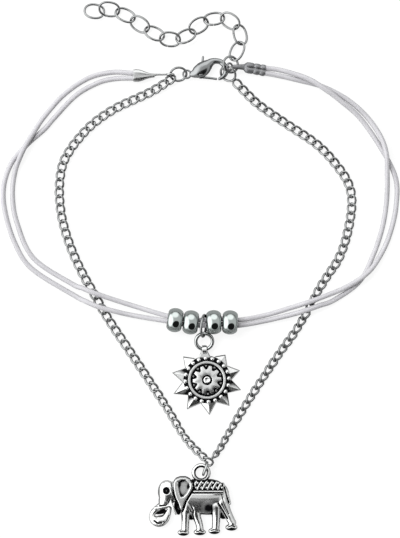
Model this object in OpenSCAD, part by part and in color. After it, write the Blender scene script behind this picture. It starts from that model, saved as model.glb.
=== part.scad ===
// Two-strand cord anklet with four beads, a sun charm and an elephant charm on a curb chain.
// It lies flat as when taken off: the floor is z = 0, the origin is the middle of the ankle opening,
// and the clasp is at +Y.

/* [Cords] */
// Diameter of one cord strand
cord_d = 1.1; // [0.8:0.05:1.1]
// Sides of a cord's tube
cord_sides = 8; // [8:1:12]

/* [Chain] */
// Width of the curb chain as it lies
chain_w = 2.2; // [1.6:0.1:2.2]
// Thickness of the curb chain
chain_t = 1.2; // [0.8:0.1:1.2]

/* [Extender] */
// Length of an oval link
link_l = 4.85; // [4.8:0.05:4.9]
// Width of an oval link
link_w = 3.5; // [3.4:0.05:3.6]
// Wire of an oval link
link_wire = 0.45; // [0.35:0.05:0.45]
// Angle by which each link leans to one side, in turn
link_lean = 28; // [27:0.5:29]

/* [Rings] */
// Mean radius of the jump rings at the clasp
ring_r = 1.75; // [1.7:0.01:1.8]
// Wire of the jump rings at the clasp
ring_wire = 0.5; // [0.4:0.05:0.5]
// Mean radius of the ring round the cords
bail_r = 2.35; // [2.3:0.05:2.4]
// Wire of the ring round the cords and of the sun's ring
bail_wire = 0.56; // [0.4:0.02:0.6]
// Mean radius of the sun's ring
sun_ring_r = 1.9; // [1.85:0.05:1.95]
// Mean radius of the elephant's ring
elephant_ring_r = 1.4; // [1.35:0.05:1.45]

/* [Clasp] */
// Height of the clasp's middle plane
clasp_z = 1.3; // [1.25:0.01:1.4]
// Diameter of the rivet
rivet_d = 0.8; // [0.6:0.05:0.8]
// Length of the rivet
rivet_l = 2; // [1.8:0.05:2.1]
// Thickness of the lever
lever_t = 0.7; // [0.5:0.05:0.72]
// Width of the slot that the lever lies in
slot_t = 0.8; // [0.8:0.02:0.9]

/* [Beads] */
// Outer diameter of a bead
bead_d = 5.3; // [5.2:0.05:5.4]
// Length of a bead along the cords
bead_l = 3.3; // [3:0.05:3.4]
// Bore that both cords pass through
bead_bore = 3; // [2.9:0.05:3.1]

/* [Sun charm] */
// Radius of the valleys between the rays
sun_valley_r = 5.4; // [5.2:0.1:5.6]
// Thickness of the plate at its edge
sun_edge = 0.45; // [0.3:0.05:0.6]
// Outer radius of the raised rim
sun_rim_r = 4.1; // [3.9:0.05:4.3]
// Height of the raised rim
sun_top = 1.75; // [1.5:0.05:2]

/* [Elephant charm] */
// Height of the elephant's back relief
elephant_top = 2.4; // [2:0.1:2.8]
// Wire of the elephant's loop
elephant_loop_wire = 0.9; // [0.7:0.05:0.9]

/* [Hidden] */
EXTENDER_LINKS = [for (i = [1:11]) str("extender_link_", i < 10 ? "0" : "", i)];
BEADS = [for (i = [1:4]) str("bead_", i)];

STEEL = [0.78, 0.79, 0.80];
ANTIQUE = [0.62, 0.62, 0.60];
CORD = [0.72, 0.71, 0.68];

// Strand A, from the left crimp along the lower edge to the right crimp: x, y, z
strand_a = [
    [-12.8, 27.8, 1.15], [-15, 27.8, 1.1], [-19.4, 28, 0.6], [-24.6, 26.7, 0.55], [-29.9, 23.1, 0.55],
    [-34.1, 18.4, 0.7], [-36.1, 15.3, 1.35], [-37.7, 12.7, 1.75], [-39.3, 9.6, 1.5], [-40.7, 5.9, 0.6],
    [-41.2, 0.9, 0.55], [-40.2, -5.1, 0.55], [-36.6, -12.8, 0.55], [-28.2, -18.4, 0.8],
    [-25.7, -19.4, 1.6], [-23.3, -20.4, 1.9], [-20.7, -21.3, 1.55], [-15.2, -23.1, 1],
    [-7.2, -25.45, 2], [-3.7, -26.1, 2.05], [0.2, -26.39, 2.05], [4.75, -26.1, 2], [8.3, -26.4, 2],
    [14.3, -25.35, 0.95], [20.5, -23.5, 1.6], [23.3, -22.6, 1.9], [26.4, -21.5, 1.75], [31.8, -19.3, 1.35],
    [35.9, -16.7, 1.8], [38.6, -13.8, 1.1], [41.4, -8.4, 0.55], [43.1, -1.1, 0.55], [42.5, 6.2, 0.55],
    [36.1, 16.8, 0.55], [30.8, 21.7, 1.2], [27, 24.4, 1.75], [23.4, 26.6, 1.5], [18, 28.4, 0.8],
    [14.35, 28.9, 1], [12.35, 29.2, 1.2]
];

// Strand B, the outer one along the lower edge
strand_b = [
    [-12.8, 26.65, 1.15], [-14.9, 26.65, 1.1], [-18.5, 26.6, 0.6], [-22.4, 25.7, 0.55], [-27.3, 22.9, 0.55],
    [-32.1, 17.9, 0.55], [-34.2, 15.5, 0.55], [-38, 12.1, 0.55], [-41.4, 8.1, 0.55], [-43.1, 3.1, 0.55],
    [-42.9, -2.2, 0.55], [-40.8, -9.2, 0.55], [-37, -15.1, 0.55], [-27.8, -20.9, 0.75],
    [-25, -22.3, 1.55], [-22.4, -23.4, 1.9], [-19.3, -24.3, 1.55], [-14.6, -25.4, 1],
    [-7.2, -26.6, 2], [-3.7, -27.25, 2], [0.4, -27.54, 2], [4.75, -27.25, 2], [8.3, -27.55, 2],
    [14.4, -26.55, 0.95], [20.4, -25.1, 1.6], [23.3, -24.2, 1.9], [25.9, -23.3, 1.5], [29.5, -22, 0.6],
    [35, -18, 0.55], [37.9, -12.5, 0.55], [40, -6.3, 0.55], [41, 0, 0.6], [41, 6.2, 1.5],
    [40.8, 9.9, 1.9], [39.6, 13.8, 1.3], [36.6, 18.3, 0.55], [32.1, 22.2, 0.55], [26.8, 24.9, 0.55],
    [21.1, 26.4, 0.6], [17.5, 27.2, 0.8], [14.15, 27.8, 1], [12.15, 28.05, 1.2]
];

// Left half of the curb chain, from the clasp down to the elephant: x, y, z
chain_left_route = [
    [-7.1, 25.7, 0.9], [-10.8, 23.7, 0.6], [-14.5, 22, 0.6], [-18, 20.4, 0.6], [-21.3, 18.4, 0.6],
    [-24.2, 16.1, 0.6], [-26.7, 13.4, 0.6], [-28.7, 10.7, 0.6], [-30.3, 7.3, 0.6], [-30.9, 2, 0.6],
    [-30.3, -4.1, 0.6], [-28.5, -10.2, 0.6], [-26.1, -15.6, 0.6], [-23.2, -20.8, 0.6], [-20.2, -26.1, 0.6],
    [-14.4, -34.8, 0.6], [-7.7, -45, 0.6], [-3.9, -51.3, 0.6], [-1.3, -54.5, 0.9], [0.2, -56.3, 1.3]
];

// Right half of the curb chain, from the elephant up to the clasp
chain_right_route = [
    [3.3, -56.3, 1.2], [4.6, -54.2, 0.8], [6.4, -51, 0.6], [11.2, -43.2, 0.6], [17.3, -33.9, 0.6],
    [20.5, -29.5, 0.6], [23.2, -25.1, 0.6], [25.5, -20.7, 0.6], [27.9, -16.8, 0.6], [30.4, -13, 0.6],
    [32.2, -8, 0.6], [33.3, -1.8, 0.6], [32.9, 2.7, 0.6], [30.7, 6.7, 0.6], [26, 11.9, 0.6],
    [19.4, 16.4, 0.6], [15.8, 18.8, 0.6], [12.5, 21.2, 0.6], [10.1, 23.5, 0.7], [8.6, 25.1, 1]
];

// Extender from the open end ring towards the clasp: x, y of the middle of each link on the floor
link_middles = [
    [-23.2, 41.4], [-19.9, 41.8], [-16.4, 40.5], [-13.2, 38.5], [-10, 36.5], [-6.6, 35.2], [-3.1, 35.9],
    [-0.3, 38.2], [3.1, 39.7], [6.6, 39.2]
];
// Middle and turn of the links that rise to the clasp's ring
raised_links = [
    [[6.6, 39.2, 1.16], [28, -2, -33]],
    [[8.8, 36.2, 0.99], [-28, -3.5, -78]],
    [[8.1, 32.5, 1.68], [-31, 7, 68]]
];

// Claw of the clasp along its middle line: x, y, half width, half height
claw_rows = [
    [-2.1, 27.5, 0.53, 0.5], [-1.4, 27.6, 0.92, 0.8], [-0.7, 27.9, 1.36, 1.1], [0.1, 28.3, 1.63, 1.25],
    [0.8, 28.8, 1.63, 1.25], [1.5, 29.4, 1.36, 1.15], [2.1, 29.9, 1, 0.85], [2.8, 30.3, 0.75, 0.65],
    [3.6, 30.4, 0.62, 0.56], [4.5, 30.2, 0.6, 0.54], [5.2, 29.6, 0.6, 0.54], [5.6, 28.8, 0.6, 0.52],
    [5.7, 28, 0.58, 0.5], [5.3, 27.2, 0.5, 0.46], [4.7, 26.7, 0.4, 0.38], [4, 26.4, 0.28, 0.3]
];
claw_sides = 12;
eye = [-2.86, 27.5];
eye_r = 0.85;
eye_wire = 0.4;
pivot = [0.2, 27.4];
hub_r = 0.85;
gate_tip = [3.5, 26.5];
tab_tip = [0.66, 31.3];

// Centres and turns of the rings: they hook through each other and lie on the floor
ring_left_at = [-4.72, 27.47, 1.48];
ring_left_turn = [42, 6, 0];
ring_upper_at = [6.7, 29.5, 2.2];
ring_upper_turn = [-5.5, 24, -14.6];
ring_lower_at = [6.15, 27.55, 1.67];
ring_lower_turn = [33.3, -28.5, -2];
bail_at = [0.8, -27.6, 2.65];
bail_turn = [0, 90, -4];
sun_ring_at = [0.93, -31.05, 1.6];
sun_ring_turn = [17, 2.5, -6];
elephant_ring_at = [1.15, -58.9, 1.69];
elephant_ring_turn = [90, 0, 72];

// Crimps: loop, neck and folded barrel
crimp_loop_r = 0.76;
crimp_loop_wire = 0.44;
strand_gap = 1.15;
cord_hole = cord_d + 0.12;
barrel_t = 1.6;
barrel_w = 2.5;
barrel_l = 4.7;
cord_depth = 2.2;
neck_t = 0.45;
crimp_right_loop_at = [6.5, 28.94, 2.68];
crimp_right_loop_lean = 40;
crimp_right_neck = [[7.1, 2.21], [7.5, 2.17], [8.6, 2.06], [9.3, 1.8], [9.9, 1.5]];
crimp_right_at = [9.6, 29.05, 1.5];
crimp_right_turn = [0, 6, -8.9];
crimp_left_loop_at = [-6.52, 27.4, 1.64];
crimp_left_at = [-9.9, 27.225, 1.15];

// Beads: x, y and turn about the vertical
bead_rows = [[-5.45, -26.35, -9], [-2, -26.85, -6.5], [3, -26.8, 1.5], [6.55, -26.85, -3]];
bead_curve_mid = ((bead_d * bead_d - bead_bore * bead_bore) / 4 - bead_l * bead_l / 4) / (bead_d - bead_bore);

// Sun: direction and tip radius of each ray, as cast by hand
sun_at = [1.54, -39.5];
sun_rays = [
    [95, 6.4], [53.5, 6.8], [15.5, 7.5], [-17, 7.8], [-49.5, 7.6], [-86, 7.8], [-124, 7.9], [-157, 8],
    [-191, 7.8], [-224, 7.3]
];
sun_tip_z = 0.5;
sun_plate_top = 1.1;
sun_loop_at = [0.97, -32.93, 1.02];
sun_loop_r = 1;
sun_loop_hole = 1;
sun_loop_l = 1.1;
sun_grains = 20;

// Elephant: its own origin is the middle of its body
elephant_at = [1.1, -65.3];
elephant_loop_at = [-0.84, 5.4, 1.2];
elephant_loop_r = 1.65;

round_fn = 64;
wire_fn = 48;

function unit(v) = v / norm(v);
function heading(route, i) = unit(route[min(i + 1, len(route) - 1)] - route[max(i - 1, 0)]);
function direction(p, q) = atan2(q.y - p.y, q.x - p.x);

// Corners of one cross-section of a tube
function section(p, along, half_w, half_h, sides) =
    let (side = unit(cross(along, [0, 0, 1])), up = cross(side, along))
    [for (k = [0:sides - 1]) let (a = 360 * k / sides) p + half_w * cos(a) * side + half_h * sin(a) * up];

// Closed tube along a route, with a half width and a half height at each point
module swept_tube(route, half_w, half_h, sides) {
    last = len(route) - 1;
    corners = [
        for (i = [0:last]) each section(route[i], heading(route, i), half_w[i], half_h[i], sides)
    ];
    walls = [
        for (i = [0:last - 1], k = [0:sides - 1])
            let (a = i * sides + k, b = i * sides + (k + 1) % sides)
            each [[a, b, b + sides], [a, b + sides, a + sides]]
    ];
    start = [for (k = [sides - 1:-1:0]) k];
    end = [for (k = [0:sides - 1]) last * sides + k];
    polyhedron(points = corners, faces = concat([start, end], walls));
}

module even_tube(route, w, h, sides) {
    swept_tube(route, [for (p = route) w / 2], [for (p = route) h / 2], sides);
}

module wire_ring(r, wire) {
    rotate_extrude($fn = round_fn) translate([r, 0]) circle(d = wire, $fn = wire_fn);
}

module placed_ring(at, turn, r, wire) {
    translate(at) rotate(turn) wire_ring(r, wire);
}

// Flat link with round ends and straight sides, long along X
module oval_link(length, width, wire) {
    end_r = (width - wire) / 2;
    straight = length - width;
    for (s = [0, 180]) rotate([0, 0, s]) {
        translate([straight / 2, 0, 0]) rotate([0, 0, -90]) rotate_extrude(angle = 180, $fn = round_fn)
            translate([end_r, 0]) circle(d = wire, $fn = wire_fn);
        translate([-straight / 2, end_r, 0]) rotate([0, 90, 0]) cylinder(h = straight, d = wire, $fn = wire_fn);
    }
}

// Straight bar with square ends from p to q in plan
module bar(p, q, w) {
    translate(p) rotate(direction(p, q)) translate([0, -w / 2]) square([norm(q - p), w]);
}

module cord_strand_a() {
    color(CORD) even_tube(strand_a, cord_d, cord_d, cord_sides);
}

module cord_strand_b() {
    color(CORD) even_tube(strand_b, cord_d, cord_d, cord_sides);
}

module crimp_loop() {
    rotate([90, 0, 0]) wire_ring(crimp_loop_r, crimp_loop_wire);
}

// Round holes for the two cord ends, from the mouth of the barrel inwards
module cord_holes() {
    for (s = [-1, 1]) translate([barrel_l - cord_depth, s * strand_gap / 2, 0])
        rotate([0, 90, 0]) cylinder(h = cord_depth + 1, d = cord_hole, $fn = wire_fn);
}

// Folded barrel along +X with straight sides
module straight_barrel() {
    rotate([90, 0, 90]) linear_extrude(barrel_l) {
        square([barrel_w - barrel_t + 0.3, barrel_t], center = true);
        for (s = [-1, 1]) translate([s * (barrel_w - barrel_t + 0.3) / 2, 0]) circle(d = barrel_t, $fn = wire_fn);
    }
}

module crimp_right() {
    color(STEEL) {
        translate(crimp_right_loop_at) rotate([0, crimp_right_loop_lean, 0])
            wire_ring(crimp_loop_r, crimp_loop_wire);
        // Bent strip that rises over the ring beside it
        translate([0, 29.4, 0]) rotate([90, 0, 0]) linear_extrude(0.8) polygon(concat(
            [for (p = crimp_right_neck) [p.x, p.y + neck_t / 2]],
            [for (i = [len(crimp_right_neck) - 1:-1:0]) crimp_right_neck[i] - [0, neck_t / 2]]
        ));
        translate(crimp_right_at) rotate(crimp_right_turn) difference() {
            straight_barrel();
            cord_holes();
        }
    }
}

module crimp_left() {
    color(STEEL) {
        translate(crimp_left_loop_at) crimp_loop();
        translate([-9.95, 27.4 - neck_t / 2, 0.8]) cube([2.7, neck_t, 1.25]);
        translate(crimp_left_at) rotate([0, 0, 180]) difference() {
            translate([0, 0, -barrel_t / 2]) linear_extrude(barrel_t) polygon([
                [0, -0.5], [2.2, -0.75], [barrel_l - 0.8, -1.3], [barrel_l, -1.3],
                [barrel_l, 1.3], [barrel_l - 0.8, 1.3], [2.2, 0.75], [0, 0.5]
            ]);
            cord_holes();
        }
    }
}

module ring_left() {
    color(STEEL) placed_ring(ring_left_at, ring_left_turn, ring_r, ring_wire);
}

module ring_upper() {
    color(STEEL) placed_ring(ring_upper_at, ring_upper_turn, ring_r, ring_wire);
}

module ring_lower() {
    color(STEEL) placed_ring(ring_lower_at, ring_lower_turn, ring_r, ring_wire);
}

// Sector in plan about the pivot, from one angle to another
module fan(from, to, r) {
    steps = 6;
    polygon(concat([[0, 0]], [for (i = [0:steps]) let (a = from + (to - from) * i / steps) r * [cos(a), sin(a)]]));
}

module clasp_body() {
    route = [for (c = claw_rows) [c[0], c[1], clasp_z]];
    color(STEEL) difference() {
        union() {
            swept_tube(route, [for (c = claw_rows) c[2]], [for (c = claw_rows) c[3]], claw_sides);
            translate([eye.x, eye.y, clasp_z]) wire_ring(eye_r, eye_wire);
        }
        translate([pivot.x, pivot.y, clasp_z - slot_t / 2]) linear_extrude(slot_t) {
            circle(r = hub_r + 0.15, $fn = wire_fn);
            fan(-45, 32, 2.6);
            fan(64, 122, 4.3);
        }
        translate([pivot.x, pivot.y, -1]) cylinder(h = 5, d = rivet_d + 0.02, $fn = wire_fn);
    }
}

module clasp_lever() {
    color(STEEL) translate([0, 0, clasp_z - lever_t / 2]) linear_extrude(lever_t) difference() {
        union() {
            translate(pivot) circle(r = hub_r, $fn = wire_fn);
            bar(pivot + [0.4, -0.62], gate_tip, 0.45);
            translate(gate_tip) circle(d = 0.45, $fn = wire_fn);
            bar(pivot, tab_tip, 0.5);
            translate(tab_tip) circle(d = 0.5, $fn = wire_fn);
        }
        translate(pivot) circle(d = rivet_d + 0.1, $fn = wire_fn);
    }
}

module clasp_rivet() {
    color(STEEL) translate([pivot.x, pivot.y, clasp_z - rivet_l / 2]) cylinder(h = rivet_l, d = rivet_d, $fn = wire_fn);
}

function link_heading(i) =
    i == 0 ? -8 : direction(link_middles[i - 1], link_middles[min(i + 1, len(link_middles) - 1)]);

// Places a link that lies on the floor and leans to one side, each to the other side than the last
module leaning(i, width) {
    at = link_middles[i];
    mid_z = ((width - link_wire) * sin(link_lean) + link_wire) / 2;
    translate([at.x, at.y, mid_z]) rotate([0, 0, link_heading(i)])
        rotate([(i % 2 == 0 ? -1 : 1) * link_lean, 0, 0]) children();
}

module extender_link(i) {
    first_raised = len(link_middles) - 1;
    color(STEEL) {
        if (i < first_raised) leaning(i, link_w) oval_link(link_l, link_w, link_wire);
        else translate(raised_links[i - first_raised][0]) rotate(raised_links[i - first_raised][1])
            oval_link(link_l, link_w, link_wire);
    }
}

// Oval ring left open at its lower right
module extender_end_ring() {
    end_w = link_w + 0.1;
    color(STEEL) leaning(0, end_w) difference() {
        oval_link(link_l - 0.2, end_w, link_wire);
        rotate([0, 0, -14]) translate([1.4, -0.3, -1]) cube([2, 0.6, 2]);
    }
}

module chain_left() {
    color(STEEL) even_tube(chain_left_route, chain_w, chain_t, cord_sides);
}

module chain_right() {
    color(STEEL) even_tube(chain_right_route, chain_w, chain_t, cord_sides);
}

module bead(i) {
    row = bead_rows[i - 1];
    color(STEEL) translate([row[0], row[1], bead_d / 2]) rotate([0, 0, row[2]]) rotate([0, 90, 0])
        rotate_extrude($fn = 96) difference() {
            translate([bead_curve_mid, 0]) circle(r = bead_d / 2 - bead_curve_mid, $fn = 96);
            translate([-bead_d, -bead_d]) square([bead_d + bead_bore / 2, 2 * bead_d]);
        }
}

module bail_ring() {
    color(STEEL) placed_ring(bail_at, bail_turn, bail_r, bail_wire);
}

module sun_ring() {
    color(STEEL) placed_ring(sun_ring_at, sun_ring_turn, sun_ring_r, bail_wire);
}

// Plate of pointed rays, each with a ridge from the rim to its tip
module sun_plate() {
    n = len(sun_rays);
    ridge_r = sun_rim_r + 0.1;
    tips = [for (ray = sun_rays) ray[1] * [cos(ray[0]), sin(ray[0])]];
    valley = [
        for (i = [0:n - 1])
            let (next = i < n - 1 ? sun_rays[i + 1][0] : sun_rays[0][0] - 360, a = (sun_rays[i][0] + next) / 2)
            [cos(a), sin(a)]
    ];
    corners = [
        for (i = [0:n - 1]) each [
            [tips[i].x, tips[i].y, 0],
            [tips[i].x, tips[i].y, sun_tip_z],
            [ridge_r * unit(tips[i]).x, ridge_r * unit(tips[i]).y, sun_plate_top + 0.1],
            [sun_valley_r * valley[i].x, sun_valley_r * valley[i].y, 0],
            [sun_valley_r * valley[i].x, sun_valley_r * valley[i].y, sun_edge],
            [ridge_r * valley[i].x, ridge_r * valley[i].y, sun_plate_top]
        ]
    ];
    hub = 6 * n;
    rays = [
        for (i = [0:n - 1]) let (a = 6 * i, b = 6 * ((i + 1) % n)) each [
            [a, a + 4, a + 1], [a, a + 3, a + 4], [a + 3, b + 1, a + 4], [a + 3, b, b + 1],
            [a + 1, a + 5, a + 2], [a + 1, a + 4, a + 5], [b + 1, a + 5, a + 4], [b + 1, b + 2, a + 5],
            [a + 2, a + 5, hub], [a + 5, b + 2, hub], [a, hub + 1, a + 3], [a + 3, hub + 1, b]
        ]
    ];
    polyhedron(points = concat(corners, [[0, 0, sun_plate_top], [0, 0, 0]]), faces = rays);
}

module sun_charm() {
    gear_r = 3.3;
    gear_valley_r = 2.5;
    rim_w = 0.45;
    color(ANTIQUE) {
        translate([sun_at.x, sun_at.y, 0]) {
            difference() {
                sun_plate();
                translate([0, 0, 0.8]) cylinder(h = 2, r = sun_rim_r - rim_w, $fn = round_fn);
            }
            difference() {
                cylinder(h = sun_top, r = sun_rim_r, $fn = round_fn);
                translate([0, 0, 0.8]) cylinder(h = 2, r = sun_rim_r - rim_w, $fn = round_fn);
            }
            // Ten-pointed star inside the rim, with a boss in its middle
            difference() {
                translate([0, 0, 0.3]) linear_extrude(sun_top - 0.45) polygon([
                    for (i = [0:9]) each [
                        gear_r * [cos(36 * i + 5), sin(36 * i + 5)],
                        gear_valley_r * [cos(36 * i + 23), sin(36 * i + 23)]
                    ]
                ]);
                translate([0, 0, 1.1]) cylinder(h = 2, r = 1.1, $fn = wire_fn);
            }
            translate([0, 0, 0.3]) cylinder(h = sun_top - 0.25, r = 0.62, $fn = wire_fn);
            for (i = [0:sun_grains - 1]) rotate([0, 0, 360 * (i + 0.5) / sun_grains])
                translate([sun_rim_r + 0.45, 0, 0.7]) sphere(r = 0.5, $fn = 16);
        }
        translate(sun_loop_at) rotate([0, 90, 0]) difference() {
            cylinder(h = sun_loop_l, r = sun_loop_r, center = true, $fn = wire_fn);
            cylinder(h = sun_loop_l + 1, d = sun_loop_hole, center = true, $fn = wire_fn);
        }
    }
}

module elephant_ring() {
    color(STEEL) placed_ring(elephant_ring_at, elephant_ring_turn, elephant_ring_r, bail_wire);
}

// Outline of a limb between two circles, each x, y, radius
module limb(a, b) {
    p = [a[0], a[1]];
    q = [b[0], b[1]];
    across = 0.97 * unit([p.y - q.y, q.x - p.x]);
    translate(p) circle(r = a[2], $fn = wire_fn);
    translate(q) circle(r = b[2], $fn = wire_fn);
    polygon([p + a[2] * across, q + b[2] * across, q - b[2] * across, p - a[2] * across]);
}

// Chain of limbs through rows of circles
module limbs(rows) {
    for (i = [0:len(rows) - 2]) limb(rows[i], rows[i + 1]);
}

// Low dome on a flat face at height z
module dome(x, y, r, z, rise) {
    ball_r = (r * r + rise * rise) / (2 * rise);
    translate([x, y, z]) intersection() {
        translate([0, 0, rise - ball_r]) sphere(r = ball_r, $fn = 96);
        translate([-r, -r, -0.1]) cube([2 * r, 2 * r, rise + 0.2]);
    }
}

// Legs, feet, trunk, tusk and tail, all at the lower height
module elephant_limbs() {
    limbs([[-3.9, -2, 1.5], [-4.4, -4.5, 0.85], [-4.4, -7.2, 0.75], [-5.1, -7.7, 0.7]]);
    limbs([[-2.3, -2.6, 1.5], [-1.4, -5.2, 0.8], [-1.2, -6.9, 0.7], [-1.8, -7.5, 0.7]]);
    limb([-1.2, -7, 0.8], [-0.7, -7.4, 0.8]);
    limbs([[2.4, -2.2, 1.6], [2.4, -4.8, 0.8], [2.4, -6.6, 0.75], [1.5, -7.3, 0.7]]);
    limb([2.4, -7, 0.7], [2.6, -7.2, 0.7]);
    limbs([[4.2, -1.6, 1.2], [5.3, -4.2, 0.8], [6, -5.6, 0.75], [6.4, -6.2, 0.75]]);
    limb([6, -6, 0.7], [5.3, -6.5, 0.7]);
    limbs([
        [-8.6, -1, 1.45], [-8.5, -2.8, 1.1], [-8.9, -4.3, 1], [-10.2, -5.3, 0.9],
        [-11.4, -4.6, 0.75], [-11.4, -3.3, 0.6], [-10.6, -2.7, 0.5]
    ]);
    limb([-7.4, -1.2, 0.4], [-6.6, -3.4, 0.3]);
    limb([4.4, 2, 0.5], [5.2, -1.2, 0.35]);
}

// Body, rump and head
module elephant_body() {
    limbs([[-3.4, 0, 3.5], [0.5, 0.1, 3.7], [2, -0.1, 3.6]]);
    limb([3, 0.5, 2.7], [4, -0.5, 1.5]);
    limb([-8.1, 1.3, 2.2], [-8.5, -0.2, 1.7]);
    limb([-8, 1.4, 2.1], [-4.4, 1, 3]);
}

module elephant_charm() {
    limb_t = 1.5;
    body_t = 1.9;
    rise = elephant_top - body_t;
    color(ANTIQUE) translate([elephant_at.x, elephant_at.y, 0]) {
        linear_extrude(limb_t) elephant_limbs();
        linear_extrude(body_t) elephant_body();
        dome(-2.6, 0, 3.4, body_t, rise);
        dome(1.6, 0, 3.4, body_t, rise);
        dome(-8.1, 1, 1.9, body_t, rise);
        // Ear
        linear_extrude(elephant_top + 0.2) limb([-5, 2.3, 2.1], [-5, -1.6, 0.75]);
        // Blanket over the back
        linear_extrude(elephant_top + 0.1) polygon([
            [-2.75, 1.2], [4.2, 1.2], [4.1, 2.4], [3.1, 3.4], [1, 3.9], [-2.4, 3.9], [-2.75, 2.6]
        ]);
        translate(elephant_loop_at) wire_ring(elephant_loop_r, elephant_loop_wire);
    }
}

cord_strand_a();
cord_strand_b();
crimp_left();
crimp_right();
ring_left();
ring_upper();
ring_lower();
clasp_body();
clasp_lever();
clasp_rivet();
for (i = [1:len(EXTENDER_LINKS)]) extender_link(i);
extender_end_ring();
chain_left();
chain_right();
for (i = [1:len(BEADS)]) bead(i);
bail_ring();
sun_ring();
sun_charm();
elephant_ring();
elephant_charm();
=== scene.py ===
import math

import bmesh
import bpy
from mathutils import Matrix, Vector


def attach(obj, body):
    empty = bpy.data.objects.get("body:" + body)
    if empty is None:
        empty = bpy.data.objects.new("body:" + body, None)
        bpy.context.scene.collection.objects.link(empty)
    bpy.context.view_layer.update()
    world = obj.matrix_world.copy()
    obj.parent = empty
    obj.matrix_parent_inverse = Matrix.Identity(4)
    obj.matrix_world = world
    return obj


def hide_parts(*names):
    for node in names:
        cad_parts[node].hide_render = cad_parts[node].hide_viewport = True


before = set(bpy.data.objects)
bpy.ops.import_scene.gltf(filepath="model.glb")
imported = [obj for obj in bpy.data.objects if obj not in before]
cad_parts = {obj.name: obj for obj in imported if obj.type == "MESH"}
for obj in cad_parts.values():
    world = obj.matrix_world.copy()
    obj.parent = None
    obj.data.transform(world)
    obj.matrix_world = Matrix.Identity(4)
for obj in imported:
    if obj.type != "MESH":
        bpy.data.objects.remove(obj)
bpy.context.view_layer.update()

# Two-strand cord anklet with beads, a sun charm and an elephant charm, laid flat and seen from above.
# Shapes are worked out in millimetres and brought to metres when a piece is finished.
mm = 0.001
mainBody = "anklet"
leverBody = "lever"
scene = bpy.context.scene


def linked(name, data):
    item = bpy.data.objects.new(name, data)
    scene.collection.objects.link(item)
    return item


def meshOf(bm, name):
    mesh = bpy.data.meshes.new(name)
    bm.to_mesh(mesh)
    bm.free()
    return mesh


# Camera and lamps

view = {
    "centre": (0, -15.2),    # what the picture is centred on
    "height": 118.4,         # of the floor that the picture takes in
    "lens": 100,
    "sensor": 36,
    "clipStart": 0.01,
}
# Soft boxes: degrees round the object and above the floor, metres away, metres wide and long, watts
softBoxes = {
    "boxNorth": dict(around=118, height=62, away=0.5, size=(0.16, 0.1), power=0.95),
    "boxWest": dict(around=165, height=50, away=0.5, size=(0.1, 0.16), power=1.05),
}


def addCamera():
    data = bpy.data.cameras.new("cameraAbove")
    data.sensor_fit = "VERTICAL"
    data.sensor_height = view["sensor"]
    data.lens = view["lens"]
    data.clip_start = view["clipStart"]
    camera = linked("cameraAbove", data)
    distance = view["height"] / view["sensor"] * view["lens"]
    camera.location = [v * mm for v in (*view["centre"], distance)]
    scene.camera = camera


def addLamps():
    target = Vector((view["centre"][0] * mm, view["centre"][1] * mm, 0))
    for name, box in softBoxes.items():
        data = bpy.data.lights.new(name, "AREA")
        data.shape = "RECTANGLE"
        data.size, data.size_y = box["size"]
        data.energy = box["power"]
        lamp = linked(name, data)
        lamp.visible_glossy = False
        a, h = math.radians(box["around"]), math.radians(box["height"])
        away = Vector((math.cos(a) * math.cos(h), math.sin(a) * math.cos(h), math.sin(h)))
        lamp.location = target + away * box["away"]
        lamp.rotation_euler = away.to_track_quat("Z", "Y").to_euler()


addCamera()
addLamps()
print("camera and lamps are set")


# Shader helpers

# A Mix node has its colour sockets after those for numbers and vectors
mixSockets = {"first": 6, "second": 7, "result": 2}


def newMaterial(name):
    material = bpy.data.materials.new(name)
    material.use_nodes = True
    return material, material.node_tree, material.node_tree.nodes["Principled BSDF"]


def addNode(tree, kind, **settings):
    node = tree.nodes.new("ShaderNode" + kind)
    for key, value in settings.items():
        if key in node.inputs:
            node.inputs[key].default_value = value
        else:
            setattr(node, key, value)
    return node


def feed(tree, socket, value):
    # Gives a socket a link, a colour or a number
    if isinstance(value, bpy.types.NodeSocket):
        tree.links.new(value, socket)
    else:
        socket.default_value = (*value, 1) if isinstance(value, tuple) else value


def feedAll(tree, node, values):
    for name, value in values.items():
        feed(tree, node.inputs[name], value)


def readAt(tree, kind, place, result, **settings):
    # A node that reads places in its Vector socket
    node = addNode(tree, kind, **settings)
    tree.links.new(place, node.inputs["Vector"])
    return node.outputs[result]


def noiseAt(tree, place, settings):
    return readAt(tree, "TexNoise", place, "Fac", **settings)


def fade(tree, source, low, high, fromLow=0.0, fromHigh=1.0, soft=False):
    node = addNode(tree, "MapRange", interpolation_type="SMOOTHSTEP" if soft else "LINEAR")
    tree.links.new(source, node.inputs["Value"])
    for key, value in (("From Min", fromLow), ("From Max", fromHigh), ("To Min", low), ("To Max", high)):
        node.inputs[key].default_value = value
    return node.outputs["Result"]


def blend(tree, amount, first, second):
    node = addNode(tree, "Mix", data_type="RGBA")
    feed(tree, node.inputs["Factor"], amount)
    feed(tree, node.inputs[mixSockets["first"]], first)
    feed(tree, node.inputs[mixSockets["second"]], second)
    return node.outputs[mixSockets["result"]]


def combine(tree, operation, *values):
    node = addNode(tree, "Math", operation=operation)
    for socket, value in zip(node.inputs, values):
        feed(tree, socket, value)
    return node.outputs["Value"]


def bump(tree, source, strength, depth, before=None):
    node = addNode(tree, "Bump", Strength=strength, Distance=depth)
    tree.links.new(source, node.inputs["Height"])
    if before:
        tree.links.new(before, node.inputs["Normal"])
    return node.outputs["Normal"]


# Tent and floor

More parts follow.
